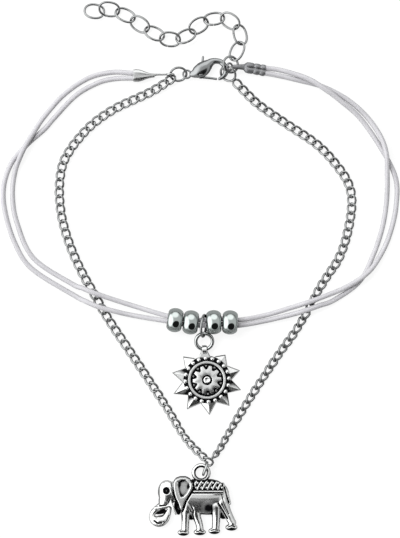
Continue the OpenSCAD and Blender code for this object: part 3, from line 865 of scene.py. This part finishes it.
def claspLever():
    bm = bmesh.new()
    pivotDisc(bm, clasp["hub"], clasp["leverThickness"], clasp["discSteps"])
    claspTube(bm, gateRows, clasp["gateStep"], clasp["leverSides"])
    claspTube(bm, tabRows, clasp["tabStep"], clasp["leverSides"])
    eased(bm, clasp["leverRound"], segments=2)
    claspFinished(bm, "claspLever", "clasp_lever", body=leverBody)


def claspRivet():
    bm = bmesh.new()
    pivotDisc(bm, clasp["rivet"], clasp["rivetLength"], clasp["discSteps"])
    eased(bm, clasp["rivetRound"], segments=3)
    claspFinished(bm, "claspRivet", "clasp_rivet")


claspBody()
claspLever()
claspRivet()
print("clasp is cast")


# Crimps: sheet metal folded over the ends of both cords, with a neck and a loop

crimp = {
    "sides": 32, "squareY": 0.8, "squareZ": 0.7, "seamWidth": 0.2, "neckStep": 0.25, "neckSides": 16,
    "loopR": 0.76, "loopWire": 0.44, "loopSteps": 36, "loopSides": 14, "sharp": 45,
}
# Rows along a barrel: place, half width, half height, depth of the seam on top
barrelRight = [
    (0, 0.5, 0.3, 0), (0.15, 0.8, 0.5, 0.05), (0.6, 1.15, 0.74, 0.15), (1.2, 1.22, 0.78, 0.3),
    (1.9, 1.2, 0.76, 0.22), (2.2, 1.08, 0.58, 0.1), (2.5, 1.2, 0.77, 0.22), (3.2, 1.24, 0.79, 0.3),
    (3.6, 1.1, 0.6, 0.1), (4.0, 1.24, 0.8, 0.22), (4.55, 1.25, 0.8, 0.3), (4.7, 1.2, 0.76, 0.2),
    (4.6, 1.0, 0.6, 0.2), (4.2, 0.95, 0.56, 0.2),
]
barrelLeft = [
    (0, 0.3, 0.42, 0), (0.2, 0.4, 0.55, 0.05), (1.2, 0.55, 0.7, 0.1), (2.0, 0.8, 0.76, 0.14),
    (2.8, 1.15, 0.78, 0.16), (3.5, 1.34, 0.8, 0.16), (4.3, 1.36, 0.78, 0.14), (4.7, 1.3, 0.72, 0.1),
    (4.6, 1.05, 0.6, 0.15), (4.2, 1.0, 0.55, 0.1),
]
# Necks: x, y, z, half width and half height
neckRight = [
    (7.1, 29, 2.2, 0.4, 0.22), (7.5, 29, 2.17, 0.46, 0.22), (8.4, 29, 2.08, 0.55, 0.24),
    (9.3, 29, 1.8, 0.62, 0.26), (10.1, 29, 1.5, 0.8, 0.3),
]
neckLeft = [
    (-10.3, 27.35, 1.2, 0.3, 0.5), (-9.4, 27.4, 1.3, 0.22, 0.48), (-8.4, 27.4, 1.45, 0.2, 0.42),
    (-7.3, 27.4, 1.6, 0.2, 0.34),
]


def foldedBarrel(bm, rows):
    frames = [placed((x, 0, 0), (90, 0, 90)) @ Matrix.Diagonal((w, h, 1, 1)) for x, w, h, seam in rows]
    for ring, (x, w, h, seam) in zip(swept(bm, frames, crimp["sides"]), rows):
        for v in ring:
            y, z = v.co.y / w, v.co.z / h
            v.co.y = w * math.copysign(abs(y) ** crimp["squareY"], y)
            v.co.z = h * math.copysign(abs(z) ** crimp["squareZ"], z)
            if z > 0:
                v.co.z -= seam * math.exp(-(v.co.y / crimp["seamWidth"]) ** 2)


def crimpEnd(name, node, metal, rows, place, neckRows, loopPlace):
    bm = bmesh.new()
    foldedBarrel(bm, rows)
    moved(bm, (), place)
    sweptRows(bm, neckRows, crimp["neckStep"], crimp["neckSides"])
    before = spunRing(bm, crimp["loopR"], crimp["loopWire"], crimp["loopSteps"], crimp["loopSides"])
    moved(bm, before, loopPlace)
    finished(bm, name, metals[metal], [node], sharp=crimp["sharp"])


crimpEnd("crimpRight", "crimp_right", "crimpMetal", barrelRight, placed((9.6, 29.05, 1.5), (0, 6, -8.9)),
         neckRight, placed((6.5, 28.94, 2.68), (0, 40, 0)))
crimpEnd("crimpLeft", "crimp_left", "crimpSheet", barrelLeft, placed((-9.9, 27.225, 1.15), (0, 0, 180)),
         neckLeft, placed((-6.52, 27.4, 1.64), (90, 0, 0)))
print("crimps are folded")


# Beads

beads = {
    "width": 3.3, "radius": 2.65, "bore": 1.5, "lip": 0.12, "round": 1.04,
    "mouth": [(0.06, 0.02), (0.16, 0)],    # how far in from the side and above the bore it turns in
    "profileSteps": 22, "spinSteps": 64, "sharp": 60,
}
# Each bead: middle and turn in plan
beadPlaces = [(-5.45, -26.35, -9), (-2, -26.85, -6.5), (3, -26.8, 1.5), (6.55, -26.85, -3)]


def bead(i, x, y, heading):
    half, bore, steps = beads["width"] / 2, beads["bore"], beads["profileSteps"]
    low = bore + beads["lip"]
    profile = []
    for k in range(steps + 1):
        t = math.pi * k / steps
        profile.append((half * math.cos(t), low + (beads["radius"] - low) * math.sin(t) ** beads["round"]))
    mouth = [(half - inward, bore + above) for inward, above in beads["mouth"]]
    profile += [(-x, z) for x, z in mouth] + mouth[::-1]
    bm = bmesh.new()
    spunProfile(bm, profile, beads["spinSteps"], axis=(1, 0, 0))
    moved(bm, (), placed((x, y, beads["radius"]), (0, 0, heading)))
    finished(bm, f"bead{i}", metals["beadPolish"], [f"bead_{i}"], sharp=beads["sharp"])


for i, row in enumerate(beadPlaces, 1):
    bead(i, *row)
print("beads are turned")


# Sun charm

sun = {
    "at": (1.54, -39.5), "sharp": 20,
    # Rays: where they start, the valleys between them, their heights and the patina low on their sides
    "root": 3.85, "valley": 5.4, "firstValley": 70.5, "lastValley": -240, "edge": 0.5, "ridge": 1.05,
    "tipHeight": 0.6, "chamfer": 0.22, "sidePatinaAndShade": 0.6, "sideTop": 0.4,
    # Star, a little higher at its hole than at its teeth; one tooth is rows of degrees and radius
    "teeth": 10, "tooth": [(-6, 3.15), (6, 3.15), (13, 2.34), (23, 2.34)], "turn": 4, "hole": 1.14,
    "starBase": 0.6, "starRise": 1.64, "starFall": 0.06, "starRound": 0.09, "starSharp": 1.0,
    # Plate that carries the loop
    "tabLow": 0.3, "tabThickness": 1.2, "tabChamfer": 0.2, "tabStain": 0.6, "tabStainFrom": -34.6,
    "tabStainTop": 1.35,
    "loop": (0.97, -32.93, 1.02),
}
# Each ray: degrees and radius of its tip
sunRays = [
    (53.5, 6.8), (15.5, 7.5), (-17, 7.8), (-49.5, 7.6), (-86, 7.8), (-124, 7.9), (-157, 8), (-191, 7.8),
    (-224, 7.3),
]
# Profiles that are spun: steps, then radius and height from point to point
sunProfiles = {
    "floor": (64, [(0.01, 0), (3.83, 0), (3.83, 0.7), (0.01, 0.7)]),
    "rim": (80, [(3.63, 0.02), (3.63, 1.65), (3.72, 1.74), (3.89, 1.75), (4.06, 1.74), (4.15, 1.65),
                 (4.15, 0.02)]),
    "ledge": (80, [(4.05, 0.05), (4.05, 1.02), (5.05, 0.92), (5.2, 0.77), (5.2, 0.05)]),
    "boss": (40, [(0.01, 0.5), (0.78, 0.5), (0.78, 1.45), (0.72, 1.61), (0.58, 1.69), (0.34, 1.65),
                  (0.2, 1.55), (0.01, 1.53)]),
    "loop": (40, [(0.5, -0.45), (0.6, -0.55), (0.88, -0.55), (1.0, -0.43), (1.0, 0.43), (0.88, 0.55),
                  (0.6, 0.55), (0.5, 0.45)]),
}
# Grains over the ledge and domes over the floor: how many, radius, distance from the middle, height, degrees
sunBalls = [(20, 0.48, 4.76, 1.08, 4), (10, 0.34, 3.1, 0.8, 22)]
# Patina of the floor and the ledge: between which radii, below which height and how dark.
# The last one that fits counts.
sunStains = [(0, 3.88, 1.25, 0.5), (0, 3.88, 0.98, 1.0), (4.0, 5.22, 1.04, 1.0)]
# Plate under the loop: x, y, half width
sunTab = [(0.93, -33.0, 0.6), (1.0, -33.8, 0.95), (1.08, -34.7, 1.4)]


def onCircle(radius, degrees, z=0.0):
    a = math.radians(degrees)
    return Vector((radius * math.cos(a), radius * math.sin(a), z))


def sunRay(bm, before, here, tip, after):
    # One pointed ray from valley to valley, its two faces meeting in a ridge
    top = raised(bm, [
        onCircle(sun["root"], here), onCircle(sun["valley"], before),
        onCircle(tip, here), onCircle(sun["valley"], after)], sun["edge"])
    hub = min(top, key=lambda v: v.co.xy.length)
    point = max(top, key=lambda v: v.co.xy.length)
    bmesh.ops.connect_verts(bm, verts=[hub, point])
    hub.co.z = sun["ridge"]
    point.co.z = sun["tipHeight"]
    rim = [e for e in edgesAmong(bm, top) if len(e.link_faces) == 2 and hub not in e.verts]
    bevelled(bm, rim, sun["chamfer"])


def sunStar(bm):
    # Toothed wheel with a round hole
    outer, inner = [], []
    for k in range(sun["teeth"]):
        middle = sun["turn"] + 360 * k / sun["teeth"]
        for shift, radius in sun["tooth"]:
            outer.append(bm.verts.new(onCircle(radius, middle + shift, sun["starBase"])))
            inner.append(bm.verts.new(onCircle(sun["hole"], middle + shift, sun["starBase"])))
    faces = bmesh.ops.bridge_loops(bm, edges=edgeLoop(bm, outer) + edgeLoop(bm, inner))["faces"]
    top = vertsIn(bmesh.ops.extrude_face_region(bm, geom=faces)["geom"])
    for v in top:
        v.co.z = sun["starRise"] - sun["starFall"] * (v.co.xy.length - sun["hole"])
    rim = [e for e in edgesAmong(bm, top) if e.calc_face_angle(0) > sun["starSharp"]]
    bevelled(bm, rim, sun["starRound"], segments=3)


def spunPart(bm, part):
    steps, profile = sunProfiles[part]
    return spunProfile(bm, profile, steps)


def sunFace(bm):
    for part in ("floor", "rim", "ledge"):
        spunPart(bm, part)
    sunStar(bm)
    spunPart(bm, "boss")
    for count, radius, away, height, first in sunBalls:
        for k in range(count):
            spot = onCircle(away, first + 360 * k / count, height)
            bmesh.ops.create_icosphere(bm, subdivisions=3, radius=radius, matrix=placed(spot))


def sunCharm():
    bm = bmesh.new()
    angles = [here for here, tip in sunRays]
    valleys = [sun["firstValley"], *((a + b) / 2 for a, b in zip(angles, angles[1:])), sun["lastValley"]]
    for (here, tip), after, before in zip(sunRays, valleys, valleys[1:]):
        sunRay(bm, before, here, tip, after)
    patinaAndShade = bm.verts.layers.float.new("patinaAndShade")
    rays = set(bm.verts)
    for v in rays:
        v[patinaAndShade] = sun["sidePatinaAndShade"] if v.co.z < sun["sideTop"] else 0.0
    sunFace(bm)
    for v in set(bm.verts) - rays:
        for near, far, top, dark in sunStains:
            if near <= v.co.xy.length < far and v.co.z < top:
                v[patinaAndShade] = dark
    moved(bm, (), placed((*sun["at"], 0)))
    face = set(bm.verts)
    left = [(x - w, y, sun["tabLow"]) for x, y, w in sunTab]
    right = [(x + w, y, sun["tabLow"]) for x, y, w in reversed(sunTab)]
    top = raised(bm, left + right, sun["tabThickness"])
    bevelled(bm, edgesAmong(bm, top), sun["tabChamfer"])
    for v in set(bm.verts) - face:
        if v.co.y > sun["tabStainFrom"] and v.co.z < sun["tabStainTop"]:
            v[patinaAndShade] = sun["tabStain"]
    moved(bm, spunPart(bm, "loop"), placed(sun["loop"], (0, 90, 0)))
    finished(bm, "sunCharm", oldSilver, ["sun_charm"], sharp=sun["sharp"])


sunCharm()
print("sun is cast")


# Elephant charm: forms fused into one skin, then chased with the ear, blanket, eye and folds

elephant = {
    "at": (1.1, -65.3), "voxel": 0.085, "smooth": 8,
    "bodyStep": 0.3, "bodySides": 32, "limbStep": 0.3, "limbSides": 16, "footZ": 0.85,
    "loop": (-0.84, 5.4, 1.2), "loopR": 1.65, "loopWire": 0.88, "loopSteps": 48, "loopSides": 18,
    # The tools reach what lies above a height and faces up, and cut in full from a steepness on
    "chasedAbove": 0.5, "facing": 0.05, "cutGrowth": 1.6, "stainGrowth": 2,
    # Painted shade on steep sides, on what faces down in the picture and down the brow, and painted shadow
    # between the forms
    "sidePatinaAndShade": 0.66, "steepShadeEdges": (0.1, 0.5), "lowerSideShade": 0.62, "lowerShadeEdges": (0.5, 0.8),
    "browShade": 0.52, "browShadeEdges": (9.3, 10.1), "browShadeFrom": -1.6, "shadowFillTop": 0.85, "shadowFillFacing": 0.6,
    "loopInnerPatinaAndShade": 0.75, "crownShadowY": (-0.4, 1.0), "crownShadowEdges": (-0.5, 0.4), "innerEdges": (0.0, 0.7),
    "outerEdges": (0.6, 1.0),
}
# Body along its length: x, middle y, z, half height in plan, half thickness
bodyRows = [
    (-6.2, 0.6, 0.8, 1.2, 0.8), (-5.6, 0.6, 0.9, 2.7, 1.3), (-4.2, 0.3, 0.9, 3.5, 1.5),
    (-2, 0.05, 0.9, 3.7, 1.55),
    (0, -0.02, 0.9, 3.8, 1.55), (1.5, 0.0, 0.9, 3.8, 1.5), (2.9, 0.15, 0.85, 3.35, 1.35),
    (3.8, 0.2, 0.8, 2.75, 1.2), (4.5, 0.1, 0.75, 2.0, 0.95), (4.95, 0, 0.7, 1.2, 0.7),
]
# Swells: middle x, y, z, half sizes x, y, z and turn in plan. The low flat ones, at a height of 0.4, fill
# the gaps between the trunk and the legs, where they are painted black as shadow
swells = [
    (-8.25, 1.0, 0.8, 2.1, 2.75, 1.35, 8), (-8.8, -0.8, 0.75, 1.42, 1.75, 1.2, 0),
    (-6.6, 1.2, 0.7, 2.2, 2.3, 1.15, 0), (3.0, -0.4, 0.8, 2.0, 3.0, 1.4, 18),
    (-3.9, -1.6, 0.9, 1.5, 2.4, 1.5, 8), (-10.2, -3.05, 0.4, 1.7, 0.8, 0.4, 0),
    (-6.0, -2.3, 0.4, 0.8, 1.7, 0.4, 8), (-3.0, -4.1, 0.4, 0.9, 1.0, 0.4, 0),
    (4.0, -3.8, 0.4, 1.0, 1.1, 0.4, 0),
]
# Limbs: rows of x, y, z and radius
limbRows = {
    "frontLeg": [
        (-4.1, -1.8, 1.0, 1.35), (-4.25, -3.6, 1.05, 1.0), (-4.3, -5.4, 1.0, 0.86),
        (-4.35, -6.9, 0.95, 0.84),
    ],
    "frontLegFar": [
        (-2.4, -2.2, 0.8, 1.4), (-1.85, -4.2, 0.75, 0.98), (-1.35, -5.6, 0.75, 0.82),
        (-1.1, -6.8, 0.75, 0.78),
    ],
    "hindLeg": [
        (2.3, -1.8, 1.05, 1.4), (2.45, -3.6, 1.05, 1.02), (2.45, -5.2, 1.0, 0.88), (2.35, -6.7, 0.95, 0.86),
    ],
    "hindLegFar": [
        (3.7, -0.9, 0.8, 1.5), (4.5, -2.8, 0.75, 1.15), (5.35, -4.4, 0.75, 0.92), (6.0, -5.6, 0.75, 0.86),
    ],
    "trunk": [
        (-9.4, -1.8, 0.8, 0.9), (-10.85, -2.75, 0.8, 0.66), (-11.6, -3.9, 0.85, 0.66),
        (-11.25, -4.9, 0.9, 0.95), (-10.15, -5.25, 0.95, 1.25), (-8.95, -4.8, 0.9, 1.1),
        (-8.3, -3.9, 0.85, 0.76), (-7.9, -2.9, 0.8, 0.56), (-7.7, -1.8, 0.8, 0.46),
    ],
    "lip": [(-11.0, -2.35, 1.3, 0.3), (-9.4, -2.1, 1.5, 0.32), (-7.7, -1.75, 1.45, 0.3)],
    "tusk": [(-7.6, -0.8, 1.5, 0.32), (-7.0, -2.2, 1.65, 0.3), (-6.4, -3.5, 1.5, 0.26)],
    "tail": [(3.9, 2.9, 1.3, 0.4), (4.75, 0.9, 1.2, 0.42), (5.4, -1.3, 1.0, 0.36)],
}
# Feet: middle of each foot, half length and half height
feet = [
    (-4.75, -7.75, 1.3, 0.72), (-1.15, -7.65, 1.35, 0.7), (2.05, -7.4, 1.3, 0.7), (5.8, -6.6, 1.35, 0.74),
]
earRim = [
    (-6.82, 3.7), (-6.38, 4.25), (-5.5, 4.6), (-4.2, 4.6), (-3.3, 4.14), (-2.75, 3.26), (-2.64, 2.6),
    (-2.97, 1.6), (-3.74, 0.4), (-4.4, -0.7), (-4.84, -2.0), (-5.06, -2.75), (-5.5, -2.2), (-5.83, -1.1),
    (-6.38, 0), (-6.71, 1.06), (-6.91, 2.4),
]
earHollow = [
    (-5.9, 3.7), (-5.05, 4.2), (-4.25, 4.2), (-3.35, 3.3), (-3.25, 2.4), (-3.9, 1.1), (-4.75, 0.3),
    (-5.4, 0.2), (-5.85, 1.6), (-6.0, 2.7),
]
# Chased lines: half width, depth and the points along each
grooves = [
    (0.13, 0.4, [(-9.9, -1.75), (-8.6, -1.6), (-8.0, -1.0), (-7.7, -0.4)]),
    (0.12, 0.4, [(-7.3, -0.3), (-6.75, -1.2), (-6.1, -2.6)]),
    (0.16, 0.5, [(-5.35, -3.1), (-5.1, -3.9), (-5.15, -4.9)]),
    (0.14, 0.4, [(-2.95, -1.9), (-2.5, -2.8), (-2.7, -3.7), (-2.3, -5.6)]),
    (0.12, 0.35, [(-3.3, -2.4), (-3.1, -3.0), (-2.6, -3.3)]),
    (0.16, 0.45, [(2.9, -1.2), (3.9, -2.8), (4.9, -4.6)]),
    (0.14, 0.4, [(1.45, -1.6), (1.5, -2.8), (1.4, -3.6)]),
    (0.12, 0.35, [(4.25, 2.3), (4.75, 0.4), (5.2, -1.2)]),
    (0.1, 0.3, [(3.6, 0.9), (4.2, -1.4), (5.2, -3.6)]),
    (0.1, 0.3, [(-5.5, -7.55), (-4.8, -7.3), (-4.1, -7.5)]),
    (0.1, 0.3, [(-1.9, -7.5), (-1.1, -7.25), (-0.3, -7.5)]),
    (0.1, 0.3, [(1.3, -7.2), (2.05, -6.95), (2.8, -7.2)]),
    (0.1, 0.3, [(5.0, -6.5), (5.8, -6.15), (6.6, -6.4)]),
    (0.12, 0.3, [(-5.9, -8.05), (-4.9, -7.85), (-3.7, -8.1)]),
    (0.12, 0.3, [(-2.3, -7.95), (-1.2, -7.75), (0.0, -8.0)]),
    (0.12, 0.3, [(0.9, -7.7), (2.0, -7.5), (3.2, -7.75)]),
    (0.12, 0.3, [(4.6, -6.95), (5.8, -6.7), (7.0, -6.95)]),
    (0.16, 0.3, [(-0.9, -3.5), (0.4, -3.7), (1.5, -3.5)]),
    (0.2, 0.5, [(-11.0, -5.1), (-10.3, -5.55), (-9.5, -5.4)]),
    (0.1, 0.3, [(-9.3, -5.9), (-8.4, -5.0), (-7.9, -3.9)]),
]
# Ear: groove round it, shallower at the upper left; rim and hollow; patina that wears off towards the
# hollow's middle and right, with darker spots
ear = {
    "reach": 0.5, "groove": 0.5, "grooveAt": 0.2, "grooveWidth": 0.15,
    "clean": 0.75, "cleanY": (0.8, 2.0), "cleanX": (6.0, 6.5),
    "rim": 0.5, "rimWidth": 0.2, "hollow": 0.6, "hollowEdges": (-0.08, 0.3),
    "patina": 0.62, "worn": 0.4, "wornEdges": (0.2, 0.9), "right": 0.1, "rightEdges": (-4.6, -3.8),
    "spots": [(-4.95, 4.0), (-5.45, 0.6), (-5.65, 3.0), (-3.7, 2.6)], "spot": 0.45, "spotWidth": 0.5,
}
blanket = {
    "left": -2.9, "right": 4.0, "low": 1.15, "high": 4.1,
    "border": 0.45, "borderRise": 0.2, "groove": 0.35, "grooveWidth": 0.12, "under": 0.2,
    "rise": 0.3, "ground": 0.25, "pitch": 1.13,
    "leafLength": 1.32, "leafWidth": 0.3, "leafTurn": 60, "leafEdges": (0.75, 1.15),
    "dots": [(0.42, 0.5), (-0.42, -0.5)], "dotEdges": (0.176, 0.33),
}
blanketEdge = [(-2.9, 0.9), (-2.9, 3.95), (1.5, 3.95), (2.9, 3.6), (3.8, 3.0), (4.05, 2.4), (4.05, 0.9)]
# Plates under the ear and the blanket: low side and thickness
plates = {"low": 0.3, "ear": 2.1, "blanket": 2.05}
# Eye: dark disc with a glint in the middle, a groove in it and a lid round it
eye = {
    "at": (-8.43, 1.58), "reach": 1.2, "lid": 0.1, "lidAt": 0.92, "lidWidth": 0.12,
    "groove": 0.3, "grooveAt": 0.42, "grooveWidth": 0.17,
    "stainEdges": (0.7, 0.85), "glint": 0.45, "glintEdges": (0.05, 0.3),
}
bellyShade = {"at": (0.75, -2.15), "x": 1.65, "y": 1.6, "depth": 0.8, "edge": 1.6}
footShade = 0.5           # share of a foot's height over which its painted shade grows


def fusedForm(bm, x, y, z, a, b, c, turn):
    bmesh.ops.create_uvsphere(
        bm, u_segments=24, v_segments=16, radius=1,
        matrix=placed((x, y, z), (0, 0, turn)) @ Matrix.Diagonal((a, b, c, 1)))


def fusedLimb(bm, rows):
    sweptRows(bm, rows, elephant["limbStep"], elephant["limbSides"])
    for x, y, z, r in (rows[0], rows[-1]):
        fusedForm(bm, x, y, z, r, r, r, 0)


def distanceToLine(x, y, points):
    best = 1e9
    for (ax, ay), (bx, by) in zip(points, points[1:]):
        dx, dy = bx - ax, by - ay
        t = max(0.0, min(1.0, ((x - ax) * dx + (y - ay) * dy) / (dx * dx + dy * dy)))
        best = min(best, math.hypot(x - ax - t * dx, y - ay - t * dy))
    return best


def depthInside(x, y, outline):
    # Distance from a closed outline, positive inside
    loop = outline + outline[:1]
    within = False
    for (ax, ay), (bx, by) in zip(loop, loop[1:]):
        if (ay > y) != (by > y) and x < (bx - ax) * (y - ay) / (by - ay) + ax:
            within = not within
    away = distanceToLine(x, y, loop)
    return away if within else -away


def swell(d, width):
    return math.exp(-(d / width) ** 2)


def chasedEar(x, y):
    # Rise, stain and how much the ear covers the spot
    edge = depthInside(x, y, earRim)
    if edge < -ear["reach"]:
        return 0.0, 0.0, 0.0
    if edge < 0:
        cut = swell(edge + ear["grooveAt"], ear["grooveWidth"])
        kept = cut * (1 - ear["clean"] * ramp(y, *ear["cleanY"]) * ramp(-x, *ear["cleanX"]))
        return -ear["groove"] * kept, kept, cut
    deep = depthInside(x, y, earHollow)
    hollow = ramp(deep, *ear["hollowEdges"])
    worn = ear["worn"] * ramp(deep, *ear["wornEdges"]) + ear["right"] * ramp(x, *ear["rightEdges"])
    patina = ear["patina"] - worn
    for spotX, spotY in ear["spots"]:
        patina += ear["spot"] * swell(math.hypot(x - spotX, y - spotY), ear["spotWidth"])
    rise = ear["rim"] * ramp(edge, 0, ear["rimWidth"]) - ear["hollow"] * hollow
    return rise, hollow * min(1.0, patina), 1.0


def chasedBlanket(x, y):
    # Leaves and dots on a dark ground over a plain border
    low, high = blanket["low"], blanket["high"]
    if not (blanket["left"] < x < blanket["right"] and low - blanket["under"] < y < high):
        return 0.0, 0.0
    edge = swell(y - low, blanket["grooveWidth"])
    if y < low + blanket["border"] / 2:
        return -blanket["groove"] * edge, edge
    if y < low + blanket["border"]:
        return blanket["borderRise"], 0.0
    across = (((x - blanket["left"]) / blanket["pitch"]) % 1 - 0.5) * blanket["pitch"]
    up = y - (low + blanket["border"] + high) / 2
    a = math.radians(blanket["leafTurn"])
    along = across * math.cos(a) + up * math.sin(a)
    aside = -across * math.sin(a) + up * math.cos(a)
    leaf = math.hypot(along / blanket["leafLength"], aside / blanket["leafWidth"])
    dot = min(math.hypot(across + dx, up - dy) for dx, dy in blanket["dots"])
    pattern = max(1 - ramp(leaf, *blanket["leafEdges"]), 1 - ramp(dot, *blanket["dotEdges"]))
    return blanket["rise"] * pattern - blanket["ground"] * (1 - pattern), 1 - pattern


def chasedEye(x, y):
    away = math.hypot(x - eye["at"][0], y - eye["at"][1])
    if away >= eye["reach"]:
        return 0.0, 0.0
    lid = eye["lid"] * swell(away - eye["lidAt"], eye["lidWidth"])
    groove = eye["groove"] * swell(away - eye["grooveAt"], eye["grooveWidth"])
    dark = 1 - eye["glint"] * (1 - ramp(away, *eye["glintEdges"]))
    return lid - groove, (1 - ramp(away, *eye["stainEdges"])) * dark


def chase(x, y):
    # What the tools add to the height at a spot, and how dark it is there: patina, with painted shade on the
    # belly and the feet
    rise, patinaAndShade, covered = chasedEar(x, y)
    free = 1 - min(1.0, covered)
    eyeRise, eyeStain = chasedEye(x, y)
    cloth, shade = chasedBlanket(x, y)
    rise += eyeRise + cloth * free
    patinaAndShade = max(patinaAndShade, eyeStain, shade * free)
    for width, depth, points in grooves:
        cut = swell(distanceToLine(x, y, points), width) * free
        rise -= depth * cut
        patinaAndShade = max(patinaAndShade, cut)
    # Painted shade on the side of each foot that faces down in the picture
    for fx, fy, length, height in feet:
        if abs(x - fx) < length and y < fy:
            patinaAndShade = max(patinaAndShade, ramp(fy - y, 0.0, footShade * height))
    # Painted shade on the belly
    middleX, middleY = bellyShade["at"]
    belly = math.hypot((x - middleX) / bellyShade["x"], (y - middleY) / bellyShade["y"])
    return rise, max(patinaAndShade, bellyShade["depth"] * (1 - ramp(belly, 0.0, bellyShade["edge"])))


def elephantForm():
    bm = bmesh.new()
    sweptRows(bm, bodyRows, elephant["bodyStep"], elephant["bodySides"])
    for row in swells:
        fusedForm(bm, *row)
    for rows in limbRows.values():
        fusedLimb(bm, rows)
    for x, y, a, b in feet:
        fusedForm(bm, x, y, elephant["footZ"], a, b, elephant["footZ"], 0)
    raised(bm, [(x, y, plates["low"]) for x, y in earRim], plates["ear"])
    raised(bm, [(x, y, plates["low"]) for x, y in blanketEdge], plates["blanket"])
    return applied(bm, [
        ("REMESH", dict(mode="VOXEL", voxel_size=elephant["voxel"], adaptivity=0.0, use_smooth_shade=True)),
        ("SMOOTH", dict(factor=0.5, iterations=elephant["smooth"])),
    ])


def chaseForm(bm, patinaAndShade):
    for v in bm.verts:
        facing = max(0.0, v.normal.z)
        dark = 0.0
        if v.co.z > elephant["chasedAbove"] and facing > elephant["facing"]:
            rise, dark = chase(v.co.x, v.co.y)
            v.co.z += rise * min(1.0, facing * elephant["cutGrowth"])
            dark *= min(1.0, facing * elephant["stainGrowth"])
        # Painted shade on the steep sides
        side = elephant["sidePatinaAndShade"] * (1 - ramp(facing, *elephant["steepShadeEdges"]))
        # Painted shade on the sides that face down in the picture
        lower = elephant["lowerSideShade"] * ramp(-v.normal.y, *elephant["lowerShadeEdges"])
        v[patinaAndShade] = max(dark, side, lower)
        # Painted shade down the left edge of the head
        if v.co.y > elephant["browShadeFrom"]:
            v[patinaAndShade] = max(v[patinaAndShade], elephant["browShade"] * ramp(-v.co.x, *elephant["browShadeEdges"]))
        # Painted shadow: low forms that face up are made black
        if v.co.z < elephant["shadowFillTop"] and facing > elephant["shadowFillFacing"]:
            v[patinaAndShade] = 1.0
    for v in bm.verts:
        v.co.z = max(v.co.z, 0.0)


def elephantLoop(bm, patinaAndShade):
    # The loop is darkest on its inner wall, where patina and painted shade lie, above all at the top, where
    # a painted shadow lies, and it has painted shade on its outer edge
    before = spunRing(
        bm, elephant["loopR"], elephant["loopWire"], elephant["loopSteps"], elephant["loopSides"])
    for v in set(bm.verts) - before:
        inward = (elephant["loopR"] - v.co.xy.length) / elephant["loopWire"] * 2
        # Painted shadow at the top of the loop's inner side
        crownShadow = ramp(v.co.y, *elephant["crownShadowY"]) * ramp(inward, *elephant["crownShadowEdges"])
        inner = elephant["loopInnerPatinaAndShade"] * ramp(inward, *elephant["innerEdges"])
        outer = elephant["sidePatinaAndShade"] * ramp(-inward, *elephant["outerEdges"])
        v[patinaAndShade] = max(crownShadow, inner) + outer
    moved(bm, before, placed(elephant["loop"]))


def elephantCharm():
    bm = elephantForm()
    patinaAndShade = bm.verts.layers.float.new("patinaAndShade")
    bm.normal_update()
    chaseForm(bm, patinaAndShade)
    elephantLoop(bm, patinaAndShade)
    moved(bm, (), placed((*elephant["at"], 0)))
    top = max(v.co.z for v in bm.verts)
    print("elephant is", round(top, 2), "mm high with", len(bm.faces), "faces")
    finished(bm, "elephantCharm", oldSilver, ["elephant_charm"])


elephantCharm()
print("elephant is cast")
